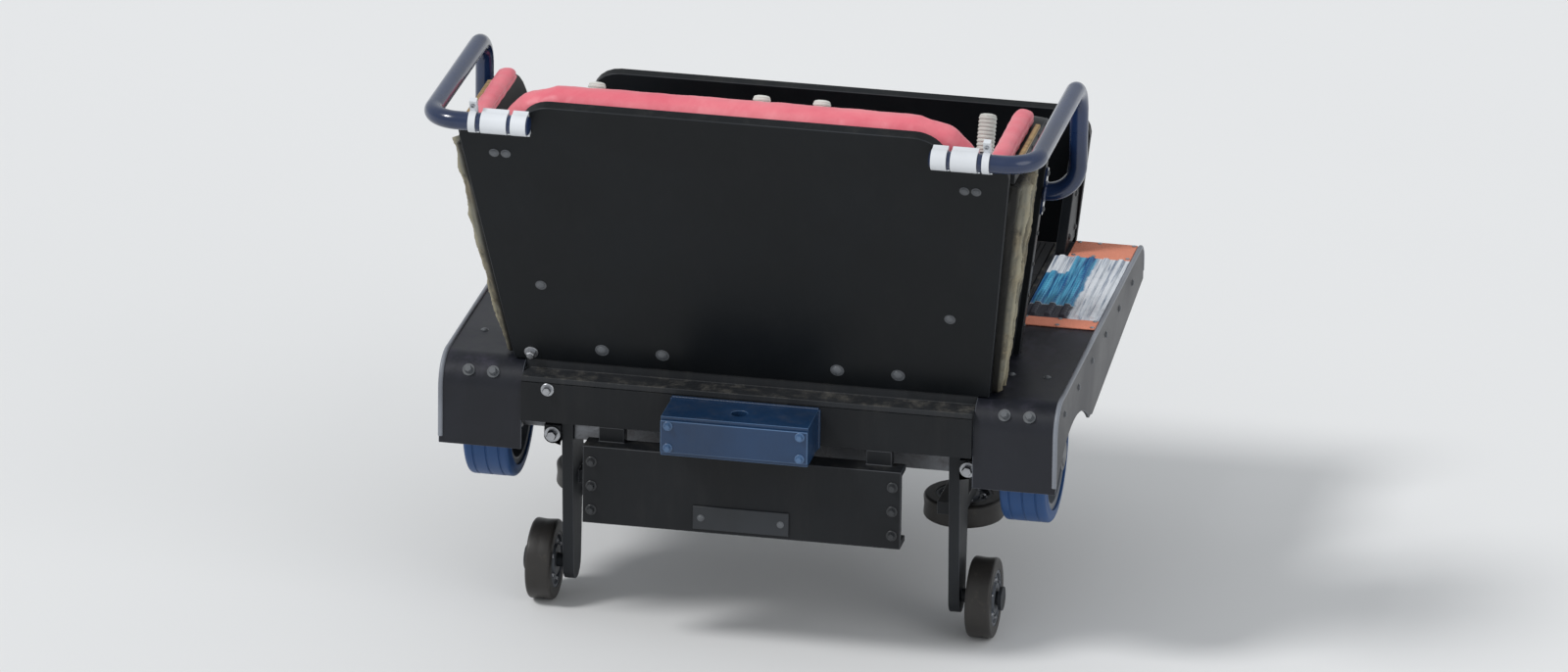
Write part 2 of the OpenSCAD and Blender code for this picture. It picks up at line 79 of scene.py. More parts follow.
slot_of = {part["node"]: part["material_slot"] for part in record["subparts"]}
body_of = {node: body for body, names in record["behaviour"]["bodies"].items() for node in names}
rad = math.radians


def turned(place, degrees, axis):
    """A frame at place, turned about one of its axes."""
    return Matrix.Translation(place) @ Matrix.Rotation(rad(degrees), 4, axis)


def add_object(name, data):
    o = bpy.data.objects.new(name, data)
    scene.collection.objects.link(o)
    return o


# Frames of the leaning panels and the lap bars, and a few heights, as the part's source has them
SILL = 0.3003
FLOOR_TOP = 0.2823
SIDE_H = 0.5354
BACK = turned((0, -0.155, SILL), 90 + 21, "X")
SIDE = turned((0.47, 0, SILL), 6.5, "Y")
FRONT = turned((0, 0.8, FLOOR_TOP), 90 + 15, "X")
BAR = turned((0.225, 0.53, 0.33), 47, "X")
BAR_REACH = 0.48
SAME = Matrix.Identity(4)
MIRROR = Matrix.Scale(-1, 4, (1, 0, 0))
SIDES = {"left": MIRROR, "right": SAME}
# Directions, in the car's frame or in the frame that a panel lies flat in
UP = (0, 0, 1)
OUT = (1, 0, 0)
REAR = (0, -1, 0)


def camera():
    """The photograph's viewpoint in the car's frame, turned and zoomed so that the car fills the view."""
    place = Vector((4.449, -22.209, 8.866))
    heading, height, roll = rad(9.349), rad(18.259), rad(1.454)
    picture_shape = 686 / 1600
    filled = 0.90
    level = math.cos(height)
    back = Vector((math.sin(heading) * level, -math.cos(heading) * level, math.sin(height)))
    right = Vector((math.cos(heading), math.sin(heading), 0))
    up = back.cross(right)
    axes = (
        math.cos(roll) * right + math.sin(roll) * up,
        math.cos(roll) * up - math.sin(roll) * right,
        back,
    )
    to_car = place - (cad_low + cad_high) / 2
    turn = back.rotation_difference(to_car).to_matrix() @ Matrix(axes).transposed()
    for _ in range(2):
        seen = np.array([v.co - place for o in nodes.values() for v in o.data.vertices]) @ np.array(turn)
        across = seen[:, :2] / -seen[:, 2:]
        middle = (across.min(0) + across.max(0)) / 2
        turn = turn @ Matrix.Rotation(-math.atan(middle[0]), 3, "Y")
        turn = turn @ Matrix.Rotation(math.atan(middle[1]), 3, "X")
    data = bpy.data.cameras.new("camera")
    data.lens = data.sensor_width * picture_shape * filled / (across[:, 1].max() - across[:, 1].min())
    data.clip_end = 200
    eye = add_object("camera", data)
    eye.matrix_world = Matrix.Translation(place) @ turn.to_4x4()
    scene.camera = eye


camera()


# Materials
def srgb(r, g, b):
    return tuple(((c / 255 + 0.055) / 1.055) ** 2.4 for c in (r, g, b)) + (1,)


def tint(color, k):
    return tuple(min(1, c * k) for c in color[:3]) + (1,)


class Shader:
    """A short way to write a material: each call adds a node and gives its output."""

    def __init__(self, name):
        self.material = bpy.data.materials.new(name)
        self.material.use_nodes = True
        self.tree = self.material.node_tree
        self.surface = self.tree.nodes["Principled BSDF"]
        self.place = self.tree.nodes.new("ShaderNodeTexCoord").outputs["Object"]

    def put(self, socket, value):
        if isinstance(value, bpy.types.NodeSocket):
            self.tree.links.new(value, socket)
        else:
            socket.default_value = value

    def feed(self, node, inputs):
        for key, value in inputs.items():
            self.put(node.inputs[key.replace("_", " ")], value)

    def add(self, kind, out=0, settings=None, **inputs):
        node = self.tree.nodes.new("ShaderNode" + kind)
        for key, value in (settings or {}).items():
            setattr(node, key, value)
        self.feed(node, inputs)
        return node.outputs[out]

    def stretched(self, x, y, z, turn=(0, 0, 0)):
        return self.add("Mapping", Vector=self.place, Scale=(x, y, z), Rotation=turn)

    def noise(self, scale, detail=4, rough=0.5, warp=0.0, vector=None):
        return self.add("TexNoise", Vector=vector or self.place, Scale=scale, Detail=detail, Roughness=rough,
                        Distortion=warp)

    def ramp(self, value, low, high):
        """0 below low and 1 above high, or the other way round where low is the higher."""
        return self.add("MapRange", settings={"interpolation_type": "SMOOTHSTEP"}, Value=value,
                        From_Min=min(low, high), From_Max=max(low, high),
                        To_Min=float(low > high), To_Max=float(low < high))

    def mix(self, share, a, b):
        node = self.tree.nodes.new("ShaderNodeMix")
        node.data_type = "RGBA"
        for socket, value in zip((node.inputs[0], node.inputs[6], node.inputs[7]), (share, a, b)):
            self.put(socket, value)
        return node.outputs[2]

    def math(self, kind, a, b, clamp=False):
        node = self.tree.nodes.new("ShaderNodeMath")
        node.operation = kind
        node.use_clamp = clamp
        self.put(node.inputs[0], a)
        self.put(node.inputs[1], b)
        return node.outputs[0]

    def times(self, a, b):
        return self.math("MULTIPLY", a, b)

    def plus(self, a, b):
        return self.math("ADD", a, b, True)

    def bump(self, height, strength, depth, below=None):
        inputs = {"Normal": below} if below else {}
        return self.add("Bump", Strength=strength, Distance=depth, Height=height, **inputs)

    def done(self, color, rough, gloss, normal=None, **inputs):
        if normal:
            inputs["Normal"] = normal
        inputs.update(Base_Color=color, Roughness=rough, Specular_IOR_Level=gloss)
        self.feed(self.surface, inputs)
        return self.material

    def over(self, base, color, most, value, low, high):
        """Lays color over base by up to most, as value runs from low to high."""
        return self.mix(self.times(self.ramp(value, low, high), most), base, color)


def paint(name, color, rough, gloss, dust_and_sheen_amount, peel=0.06, vary=0.2, coat=0.0, dust_and_sheen_color=srgb(120, 116, 108)):
    """Paint on metal or board: cloudy tone, orange peel, a dusty film on what faces up, which on the fender
    is also a painted sheen of sky on the top, and fine scratches.
    """
    s = Shader(name)
    cloud = s.ramp(s.noise(3.2, 6, 0.6, 0.4), 0.35, 0.7)
    base = s.mix(cloud, tint(color, 1 - vary), tint(color, 1 + vary))
    speck = s.ramp(s.noise(140, 3, 0.7), 0.62, 0.74)
    streak = s.ramp(s.noise(9, 8, 0.75, 0.2, s.stretched(3, 3, 0.5)), 0.45, 0.75)
    up = s.add("SeparateXYZ", 2, Vector=s.add("NewGeometry", 1))
    facing = s.plus(s.times(s.ramp(up, 0.2, 0.95), 0.88), 0.12)
    # Dust on what faces up; on the fender this also stands for a painted sheen of sky on the top.
    dust_and_sheen = s.times(s.times(facing, s.plus(streak, s.times(speck, 0.5))), dust_and_sheen_amount)
    base = s.mix(dust_and_sheen, base, dust_and_sheen_color)
    scratch = s.noise(38, 9, 0.85, 3.5, s.stretched(1, 1, 6, (0.4, 0.3, 0.9)))
    base = s.over(base, tint(color, 2.2), 0.18, scratch, 0.66, 0.69)
    roughness = s.plus(s.times(cloud, 0.1), s.plus(s.times(dust_and_sheen, 0.5), rough - 0.05))
    normal = s.bump(s.noise(420, 2, 0.5), peel, 0.0006)
    normal = s.bump(s.noise(14, 3, 0.5), 0.08, 0.004, normal)
    return s.done(base, roughness, gloss, normal, Coat_Weight=coat, Coat_Roughness=0.12)


def steel(name, color, rough, stained, grain):
    """Bare metal: brushed grain, stains and small pits."""
    s = Shader(name)
    brushed = s.noise(60, 5, 0.7, 0, s.stretched(*grain))
    stain = s.ramp(s.noise(16, 7, 0.7, 0.8), 0.42, 0.68)
    base = s.mix(brushed, tint(color, 0.8), tint(color, 1.18))
    base = s.mix(s.times(stain, stained), base, srgb(58, 50, 42))
    roughness = s.plus(s.times(stain, 0.2), s.plus(s.times(brushed, 0.15), rough - 0.08))
    pits = s.ramp(s.add("TexVoronoi", Vector=s.place, Scale=260.0), 0.0, 0.22)
    normal = s.bump(pits, 0.08, 0.0004, s.bump(brushed, 0.12, 0.0006))
    return s.done(base, roughness, 0.5, normal, Metallic=1.0)


def vinyl(name, color, deep, rough=0.42):
    """Seat vinyl: pebbled grain, soft creases, sun fading and pale scuffs."""
    s = Shader(name)
    fade = s.ramp(s.noise(4.5, 5, 0.6, 0.6), 0.3, 0.72)
    grain = s.add("TexVoronoi", Vector=s.place, Scale=520.0)
    fine = s.noise(900, 3, 0.6)
    base = s.mix(fade, deep, color)
    base = s.over(base, tint(color, 1.5), 0.1, grain, 0.35, 0.0)
    base = s.over(base, srgb(240, 186, 190), 0.16, s.noise(26, 8, 0.8, 1.2), 0.6, 0.72)
    soil = s.ramp(s.noise(7, 7, 0.7, 0.4), 0.58, 0.76)
    base = s.mix(s.times(soil, 0.16), base, srgb(96, 44, 50))
    crease = s.noise(26, 4, 0.55, 1.6, s.stretched(1, 1, 0.35))
    normal = s.bump(fine, 0.1, 0.0002, s.bump(grain, 0.22, 0.0005, s.bump(crease, 0.25, 0.004)))
    roughness = s.plus(s.times(fine, 0.12), s.plus(s.times(soil, 0.15), rough - 0.04))
    return s.done(base, roughness, 0.45, normal, Coat_Weight=0.06, Coat_Roughness=0.35, Sheen_Weight=0.05,
                  Sheen_Roughness=0.5)


def rubber(name, color, rough, grain, marks=srgb(70, 66, 62)):
    """Rubber, foam or cast polyurethane: fine matt grain and dusty rub marks."""
    s = Shader(name)
    fine = s.noise(grain, 4, 0.7)
    base = s.mix(s.noise(6, 5, 0.6), tint(color, 0.7), tint(color, 1.5))
    base = s.over(base, marks, 0.35, s.noise(30, 7, 0.8), 0.55, 0.75)
    return s.done(base, s.plus(s.times(fine, 0.2), rough - 0.1), 0.35, s.bump(fine, 0.3, 0.0006))


def carved(name):
    """Stained carved wood: grain along the roots, painted shade in the hollows by the carving's depth, pale
    worn ridges.
    """
    s = Shader(name)
    along = s.stretched(26, 26, 3.2, (rad(-20), 0, 0))
    grain = s.noise(3.0, 9, 0.72, 1.1, along)
    tone = s.mix(s.ramp(grain, 0.3, 0.7), srgb(50, 46, 38), srgb(138, 128, 106))
    tone = s.over(tone, srgb(122, 122, 112), 0.75, s.noise(7, 6, 0.65, 0.5), 0.40, 0.64)
    depth = s.add("Attribute", 2, {"attribute_name": "relief"})
    # Painted shade: the hollows go near black where the relief is low.
    tone = s.over(tone, srgb(8, 8, 8), 0.97, depth, 0.74, 0.42)
    tone = s.over(tone, srgb(184, 176, 150), 0.45, depth, 0.78, 1.0)
    tone = s.over(tone, srgb(22, 18, 14), 0.8, s.noise(5.2, 10, 0.8, 2.2, along), 0.38, 0.30)
    normal = s.bump(s.noise(260, 4, 0.7), 0.25, 0.0008, s.bump(grain, 0.5, 0.004))
    return s.done(tone, s.plus(s.times(grain, 0.25), 0.48), 0.3, normal)


def board(name, color):
    """Varnished plywood with its grain along X."""
    s = Shader(name)
    grain = s.noise(6, 8, 0.65, 1.4, s.stretched(1.2, 14, 14))
    base = s.mix(s.ramp(grain, 0.3, 0.7), tint(color, 0.6), tint(color, 1.5))
    return s.done(base, s.plus(s.times(grain, 0.3), 0.3), 0.4, s.bump(grain, 0.2, 0.001))


def grip(name, color):
    """Sanded step paint: coarse grit and dark rub marks."""
    s = Shader(name)
    grit = s.add("TexVoronoi", Vector=s.place, Scale=330.0)
    base = s.mix(s.noise(18, 6, 0.7), tint(color, 0.82), tint(color, 1.15))
    base = s.over(base, tint(color, 0.55), 0.3, grit, 0.1, 0.5)
    base = s.over(base, srgb(96, 84, 78), 0.5, s.noise(11, 8, 0.75, 0.8), 0.54, 0.72)
    return s.done(base, s.plus(s.times(grit, 0.2), 0.7), 0.2, s.bump(grit, 0.6, 0.0012))


def step(name):
    """Ribbed step plate: pale and worn, with painted blue shade by the tub and darker painted shade behind
    that.
    """
    s = Shader(name)
    across = s.math("ABSOLUTE", s.add("SeparateXYZ", 0, Vector=s.place), 0)
    along = s.add("SeparateXYZ", 1, Vector=s.place)
    line = s.noise(9, 5, 0.7, 0.3, s.stretched(22, 0.6, 1))
    pale = s.mix(s.ramp(line, 0.48, 0.66), srgb(214, 218, 223), srgb(122, 136, 156))
    blue = s.mix(s.ramp(line, 0.4, 0.6), srgb(4, 78, 132), srgb(84, 164, 196))
    edge = s.plus(across, s.times(s.math("SUBTRACT", s.noise(24, 6, 0.7), 0.5), 0.02))
    inner = s.ramp(edge, 0.544, 0.537)
    corner = s.times(s.ramp(across, 0.500, 0.496), s.ramp(along, 0.545, 0.555))
    # Painted shade: by the tub the pale plate turns blue, the colour of shade under a blue sky.
    painted = s.times(s.times(inner, s.ramp(along, 0.368, 0.374)), s.math("SUBTRACT", 1.0, corner))
    base = s.mix(painted, pale, blue)
    # Painted shade: darker still at the inner rear, behind the blue.
    base = s.mix(s.times(inner, s.ramp(along, 0.372, 0.366)), base, srgb(44, 44, 54))
    soil = s.ramp(s.noise(8, 8, 0.75, 0.5), 0.5, 0.76)
    base = s.mix(s.times(soil, 0.45), base, srgb(96, 100, 110))
    normal = s.bump(s.noise(300, 3, 0.6), 0.1, 0.0005)
    return s.done(base, s.plus(s.times(soil, 0.2), 0.46), 0.45, normal)


def by_name(*materials):
    """The materials by their names, less the number that Blender adds, and less _edge for worn edges."""
    return {material.name.split(".")[0].removesuffix("_edge"): material for material in materials}


MATERIAL = by_name(
    paint("frame_black", srgb(23, 25, 28), 0.5, 0.25, 0.18),
    paint("panel_black", srgb(19, 22, 25), 0.46, 0.2, 0.08, 0.05),
    paint("bar_steel", srgb(64, 68, 73), 0.38, 0.5, 0.15),
    paint("coupler_navy", srgb(24, 52, 84), 0.34, 0.5, 0.15),
    paint("plate_dark", srgb(40, 43, 47), 0.45, 0.4, 0.15),
    steel("axle_steel", srgb(120, 122, 126), 0.38, 0.5, (30, 1, 1)),
    paint("carrier_grey", srgb(36, 39, 43), 0.5, 0.3, 0.25),
    paint("hub_grey", srgb(92, 96, 102), 0.45, 0.5, 0.25),
    rubber("wheel_tyre", srgb(30, 66, 112), 0.45, 350, srgb(52, 58, 68)),
    rubber("guide_poly", srgb(48, 46, 44), 0.42, 200, srgb(96, 90, 80)),
    paint("floor_dark", srgb(40, 42, 45), 0.6, 0.3, 0.5),
    board("seat_wood", srgb(60, 50, 42)),
    vinyl("pad_rose", srgb(240, 138, 146), srgb(226, 102, 118)),
    carved("carved_wood"),
    # The fender's purple-grey dust colour lightens its top: partly dust, partly a painted sky sheen.
    paint("fender_grey", srgb(25, 27, 34), 0.4, 0.35, 0.3, dust_and_sheen_color=srgb(84, 80, 98)),
    step("tread_pale"),
    grip("band_terracotta", srgb(230, 148, 122)),
    paint("rail_navy", srgb(22, 42, 78), 0.26, 0.5, 0.06, 0.03, coat=0.5),
    # The clamps are near white all over: a painted highlight for the sunlit glint of polished metal.
    paint("clamp_bright", srgb(222, 225, 229), 0.3, 0.5, 0.12, vary=0.05),
    rubber("bar_pad", srgb(28, 29, 32), 0.62, 500),
)
WORN = by_name(
    paint("frame_black_edge", srgb(50, 52, 56), 0.45, 0.4, 0.1),
    paint("panel_black_edge", srgb(40, 43, 47), 0.45, 0.3, 0.05),
    paint("fender_grey_edge", srgb(92, 96, 104), 0.4, 0.4, 0.1),
    paint("coupler_navy_edge", srgb(70, 98, 132), 0.35, 0.5, 0.1),
    paint("carrier_grey_edge", srgb(76, 79, 84), 0.4, 0.4, 0.1),
)
ZINC = steel("zinc_bolts", srgb(176, 178, 182), 0.34, 0.25, (1, 1, 1))
GREY_BOLT = paint("grey_bolts", srgb(88, 91, 95), 0.4, 0.5, 0.2)
BLACK_BOLT = paint("black_bolts", srgb(42, 44, 47), 0.4, 0.5, 0.2)
# Pale grey for the fenders' edge bead: a painted highlight of the lit edge.
PALE_BEAD_HIGHLIGHT = paint("fender_rim_highlight", srgb(122, 126, 134), 0.4, 0.5, 0.2)
PIPING = vinyl("pad_piping", srgb(206, 90, 108), srgb(176, 58, 82), 0.36)
THREAD = rubber("pad_thread", srgb(232, 160, 168), 0.7, 900, srgb(200, 120, 130))
GRIP = rubber("bar_grips", srgb(206, 206, 200), 0.55, 300, srgb(150, 146, 138))
TRIM_WOOD = board("side_strip", srgb(168, 138, 92))
MAT_RUBBER = rubber("floor_mat", srgb(34, 35, 37), 0.7, 260)


# Mesh tools
# An edge that turns by more degrees than this is a corner
CORNER = 30


def link(name, data, slot, body="root", materials=(), replaces=()):
    """Puts a finished mesh or curve in the scene, with its materials, on the body that carries it."""
    o = add_object(name, data)
    for material in materials or (MATERIAL[slot],):
        data.materials.append(material)
    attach(o, body)
    if replaces:
        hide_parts(*replaces)
    return o


def to_mesh(name, bm, sharp):
    """Turns a bmesh into a mesh, smooth but for edges that turn more than sharp degrees."""
    bmesh.ops.recalc_face_normals(bm, faces=bm.faces)
    for face in bm.faces:
        face.smooth = True
    for edge in bm.edges:
        edge.smooth = len(edge.link_faces) == 2 and edge.calc_face_angle(0) <= rad(sharp)
    me = bpy.data.meshes.new(name)
    bm.to_mesh(me)
    bm.free()
    return me


def piece(name, bm, sharp, slot, body="root", materials=(), replaces=()):
    return link(name, to_mesh(name, bm, sharp), slot, body, materials, replaces)


def rounded(o, width=0.0015, worn=None):
    """Rounds an object's sharp edges, in the worn material where one is given."""
    bevel = o.modifiers.new("bevel", "BEVEL")
    bevel.width = width
    bevel.segments = 2
    bevel.limit_method = "ANGLE"
    bevel.angle_limit = rad(CORNER)
    if worn:
        o.data.materials.append(worn)
        bevel.material = len(o.data.materials) - 1
    normals = o.modifiers.new("normals", "WEIGHTED_NORMAL")
    normals.keep_sharp = True
    return o


def lathe(bm, profile, frame, steps):
    """Turns (radius, height) points about the Z axis of frame. A radius of 0 closes an end."""
    rings = []
    for r, z in profile:
        count = steps if r > 1e-7 else 1
        turns = [2 * math.pi * i / steps for i in range(count)]
        rings.append([bm.verts.new(frame @ Vector((r * math.cos(t), r * math.sin(t), z))) for t in turns])
    for a, b in zip(rings, rings[1:]):
        for i in range(steps):
            j = (i + 1) % steps
            corners = [a[i % len(a)], a[j % len(a)], b[j % len(b)], b[i % len(b)]]
            corners = [v for k, v in enumerate(corners) if v not in corners[:k]]
            if len(corners) > 2:
                bm.faces.new(corners)


def ring(bm, profile, frame, steps):
    """Turns a closed profile of (radius, height) points about the Z axis of frame."""
    lathe(bm, profile + profile[:1], frame, steps)
    bmesh.ops.remove_doubles(bm, verts=bm.verts, dist=1e-7)


def both_ends(upper):
    """The whole of a profile that is the same above and below height 0, from its upper half."""
    return [(r, -z) for r, z in upper] + upper[::-1]


def prism(bm, points, low, high, frame):
    """An outline of (x, y) points raised from low to high along Z of frame."""
    floor = [bm.verts.new(frame @ Vector((x, y, low))) for x, y in points]
    top = [bm.verts.new(frame @ Vector((x, y, high))) for x, y in points]
    bm.faces.new(floor[::-1])
    bm.faces.new(top)
    for i in range(len(points)):
        j = (i + 1) % len(points)
        bm.faces.new((floor[i], floor[j], top[j], top[i]))


def block(bm, low, high, frame=SAME):
    corners = [(low[0], low[1]), (high[0], low[1]), (high[0], high[1]), (low[0], high[1])]
    prism(bm, corners, low[2], high[2], frame)


def arc(x, y, r, start, end, steps):
    turns = [rad(start + (end - start) * i / steps) for i in range(steps + 1)]
    return [(x + r * math.cos(t), y + r * math.sin(t)) for t in turns]


def aimed(place, direction):
    """A frame at place whose Z axis points along direction."""
    return Matrix.Translation(place) @ Vector(direction).to_track_quat("Z", "Y").to_matrix().to_4x4()


def relief(across, along, top, base):
    """A closed plate: top(u, v) gives its worked face and base(u, v) the face under it, as points."""
    us = np.linspace(0, 1, across)
    vs = np.linspace(0, 1, along)
    bm = bmesh.new()
    upper = [[bm.verts.new(top(u, v)) for u in us] for v in vs]
    for a, b in zip(upper, upper[1:]):
        for i in range(across - 1):
            bm.faces.new((a[i], a[i + 1], b[i + 1], b[i]))
    edge = [(u, 0.0, upper[0][i]) for i, u in enumerate(us)]
    edge += [(1.0, v, upper[j][-1]) for j, v in enumerate(vs)][1:]
    edge += [(u, 1.0, upper[-1][i]) for i, u in enumerate(us)][-2::-1]
    edge += [(0.0, v, upper[j][0]) for j, v in enumerate(vs)][-2:0:-1]
    under = [bm.verts.new(base(u, v)) for u, v, _ in edge]
    for i in range(len(edge)):
        j = (i + 1) % len(edge)
        bm.faces.new((edge[i][2], edge[j][2], under[j], under[i]))
    bm.faces.new(under[::-1])
    return bm


def tube(name, points, r, material, slot, body="root", closed=False):
    """A round bead along points."""
    curve = bpy.data.curves.new(name, "CURVE")
    curve.dimensions = "3D"
    curve.bevel_depth = r
    curve.bevel_resolution = 3
    curve.use_fill_caps = True
    line = curve.splines.new("POLY")
    line.points.add(len(points) - 1)
    for point, place in zip(line.points, points):
        point.co = (*place, 1)
    line.use_cyclic_u = closed
    line.use_smooth = True
    link(name, curve, slot, body, (material,))


# Fasteners
def hex_bolt(bm, frame, r):
    washer = [(0, 0), (r * 1.55, 0), (r * 1.55, r * 0.22), (r * 1.46, r * 0.3), (0, r * 0.3)]
    lathe(bm, washer, frame, 24)
    head = frame @ Matrix.Translation((0, 0, r * 0.3)) @ Matrix.Rotation(frame.translation.x * 40, 4, "Z")
    lathe(bm, [(r, 0), (r, r * 0.9), (r * 0.86, r * 1.15), (0, r * 1.15)], head, 6)


def dome_bolt(bm, frame, r):
    dome = [(r * math.cos(rad(a)), r * 0.1 + r * 0.55 * math.sin(rad(a))) for a in (0, 20, 40, 60, 75)]
    lathe(bm, [(0, 0), (r * 1.3, 0), (r * 1.3, r * 0.1), *dome, (0, r * 0.66)], frame, 24)


def socket_bolt(bm, frame, r):
    head = [(0, 0), (r, 0), (r, r * 0.9), (r * 0.9, r), (r * 0.5, r), (r * 0.5, r * 0.5), (0, r * 0.5)]
    lathe(bm, head, frame, 16)


def flat_screw(bm, frame, r):
    head = [(0, 0), (r, 0), (r * 0.96, r * 0.18), (r * 0.36, r * 0.22), (r * 0.3, 0.0002), (0, 0.0002)]
    lathe(bm, head, frame, 18)


def fasten(name, head, spots, material, slot="bar_steel", body="root"):
    """One piece with a head at each (place, outward direction, radius)."""
    bm = bmesh.new()
    for place, out, r in spots:
        head(bm, aimed(place, out), r)
    piece(name, bm, 28, slot, body, (material,))


def placed(frame, out, r, *places):
    """Spots for fasten() at places in a frame, facing out along the frame's own direction out."""
    turn = frame.to_3x3()
    return [(frame @ Vector(place), turn @ Vector(out), r) for place in places]


def bolt_circle(frame, radius, count, start, height, r):
    """Spots for a circle of bolts on both faces of a wheel."""
    spots = []
    for i in range(count):
        turn = rad(start + 360 / count * i)
        x, y = radius * math.cos(turn), radius * math.sin(turn)
        for out in (1, -1):
            spots += placed(frame, (0, 0, out), r, (x, y, out * height))
    return spots


def mirrored(spots):
    """Spots of the car's right side, on its left side."""
    return [(MIRROR @ Vector(place), MIRROR.to_3x3() @ Vector(out), r) for place, out, r in spots]


def paired(spots):
    """The same spots on both sides of the car."""
    return spots + mirrored(spots)


def weld(name, paths, slot):
    """Weld beads along straight runs: short overlapping scales."""
    r = 0.0035
    bm = bmesh.new()
    for start, end in paths:
        start = Vector(start)
        run = Vector(end) - start
        count = max(2, int(run.length / (r * 0.8)))
        frame = run.to_track_quat("Z", "Y").to_matrix().to_4x4()
        profile = []
        for i in range(count * 4 + 1):
            at = i / (count * 4)
            swell = 0.86 + 0.14 * abs(math.sin(at * count * math.pi))
            profile.append((r * swell, at * run.length))
        lathe(bm, [(0, 0), *profile, (0, run.length)], Matrix.Translation(start) @ frame, 8)
    piece(name, bm, 60, slot)


# Rigid CAD nodes, dressed with rounded and worn edges
def dress(name):
    """A copy of a node's solid with its corners merged and its edges rounded stands for the node."""
    bm = bmesh.new()
    bm.from_mesh(nodes[name].data)
    bmesh.ops.remove_doubles(bm, verts=bm.verts, dist=2e-5)
    bmesh.ops.dissolve_limit(bm, angle_limit=rad(0.6), verts=bm.verts, edges=bm.edges)
    slot = slot_of[name]
    shell = piece(name + "_shell", bm, CORNER, slot, body_of[name], replaces=(name,))
    rounded(shell, worn=WORN.get(slot))


def dress_all():
    plain = ["chassis_frame", "drawbar", "coupler_box", "coupler_cover", "rear_cross_member", "number_plate",
             "axle", "floor_pan", "seat_base", "back_panel", "front_panel", "tread_bands", "rail_clamps",
             "lap_bar_brackets"]
    handed = ["wheel_carrier", "running_hub", "side_panel", "front_wing", "fender", "grab_rail", "lap_bar"]
    for name in plain + [f"{part}_{side}" for part in handed for side in SIDES]:
        dress(name)
    for name, o in nodes.items():
        o.data.materials.clear()
        o.data.materials.append(MATERIAL[slot_of[name]])


# Wheels
def wheel_frame(side, x, y, z):
    """A wheel's own frame: Z along its spindle, away from the car's middle."""
    return SIDES[side] @ turned((x, y, z), 90, "Y")


def running_wheels():
    """Tyres with three grooves, and the hubs' bolts."""
    r = 0.135
    inner = 0.1112
    half = 0.047
    deep = r - 0.0018
    upper = [(inner, half), (inner + 0.006, half), (inner + 0.009, half - 0.0015), (r - 0.009, half - 0.0015)]
    upper += arc(r - 0.008, half - 0.0095, 0.008, 90, 0, 5)
    upper += [(r, 0.0282), (deep, 0.0268), (deep, 0.0252), (r, 0.0238), (r, 0.0022), (deep, 0.0008)]
    for side in SIDES:
        frame = wheel_frame(side, 0.5335, 0, 0.135)
        body = "running_wheel_" + side
        bm = bmesh.new()
        ring(bm, both_ends(upper), frame, 72)
        tyre = "running_tyre_" + side
        piece(tyre + "_rubber", bm, 40, "wheel_tyre", body, replaces=(tyre,))
        spots = bolt_circle(frame, radius=0.0675, count=5, start=36, height=0.009, r=0.008)
        fasten("hub_bolts_" + side, hex_bolt, spots, ZINC, "hub_grey", body)


def small_wheel(side, kind, frame, w, bore):
    """A poly tyre on a bolted steel centre, for the guide and upstop wheels."""
    body = kind + "_wheel_" + side
    half = w / 2
    rim = 0.056
    bm = bmesh.new()
    tyre = [(rim, half), (0.0735, half)] + arc(0.074, half - 0.006, 0.006, 90, 0, 4) + [(0.0788, 0.003)]
    ring(bm, both_ends(tyre), frame, 56)
    piece(body + "_tyre", bm, 40, "guide_poly", body, replaces=(body,))
    bm = bmesh.new()
    centre = [(bore, half), (0.03, half), (0.031, half - 0.006), (0.049, half - 0.006),
              (0.05, half - 0.001), (rim - 0.0004, half - 0.001)]
    ring(bm, both_ends(centre), frame, 48)
    piece(body + "_centre", bm, CORNER, "hub_grey", body)
    spots = bolt_circle(frame, radius=0.04, count=6, start=0, height=half - 0.006, r=0.0042)
    fasten(body + "_bolts", hex_bolt, spots, ZINC, "hub_grey", body)


def small_wheels():
    """Upstop wheels on level spindles, and guide wheels that lie flat on upright ones."""
    for side, flip in SIDES.items():
        small_wheel(side, "upstop", wheel_frame(side, 0.44, 0, -0.178), 0.05, 0.01405)
        small_wheel(side, "guide", flip @ Matrix.Translation((0.3695, 0.15, -0.045)), 0.046, 0.01305)


# Steps
def treads():
    """Ribbed step plates: five rounded ribs with cross cuts, and fine lines between them."""
    low_x, high_x = 0.4533, 0.6037
    rear, front = 0.3001, 0.6499
    rib_w = 0.014
    pitch = (high_x - low_x - 0.018 - rib_w) / 4
    ribs = [low_x + 0.009 + rib_w / 2 + i * pitch for i in range(5)]

    def height(x, y):
        off = min(abs(x - rib) for rib in ribs)
        edge = min(y - rear, front - y)
        line = 0.0005 * (math.sin(x * 2 * math.pi / 0.004) > 0)
        if off < rib_w / 2 and edge > 0.006:
            cut = 0.0012 if (y / 0.012) % 1 < 0.28 else 0.0
            swell = math.sqrt(max(0, 1 - (off / (rib_w / 2)) ** 4))
            return SILL + 0.004 + 0.0047 * swell - cut * (swell > 0.3)
        return SILL + 0.0032 + line * (edge > 0.004)

    def spot(u, v):
        return low_x + u * (high_x - low_x), rear + v * (front - rear)

    for side, flip in SIDES.items():
        def top(u, v):
            return flip @ Vector((*spot(u, v), height(*spot(u, v))))

        def base(u, v):
            return flip @ Vector((*spot(u, v), SILL))

        bm = relief(150, 180, top, base)
        piece("ribbed_tread_" + side, bm, 50, "tread_pale", replaces=("tread_" + side,))
    spots = []
    for x in (0.4595, 0.5285, 0.5975):
        places = [(x, 0.260), (x, 0.294), (max(x, 0.488), 0.659), (max(x, 0.488), 0.734)]
        spots += [((a, b, 0.3044), UP, 0.0045) for a, b in places]
    fasten("tread_screws", flat_screw, paired(spots), ZINC)


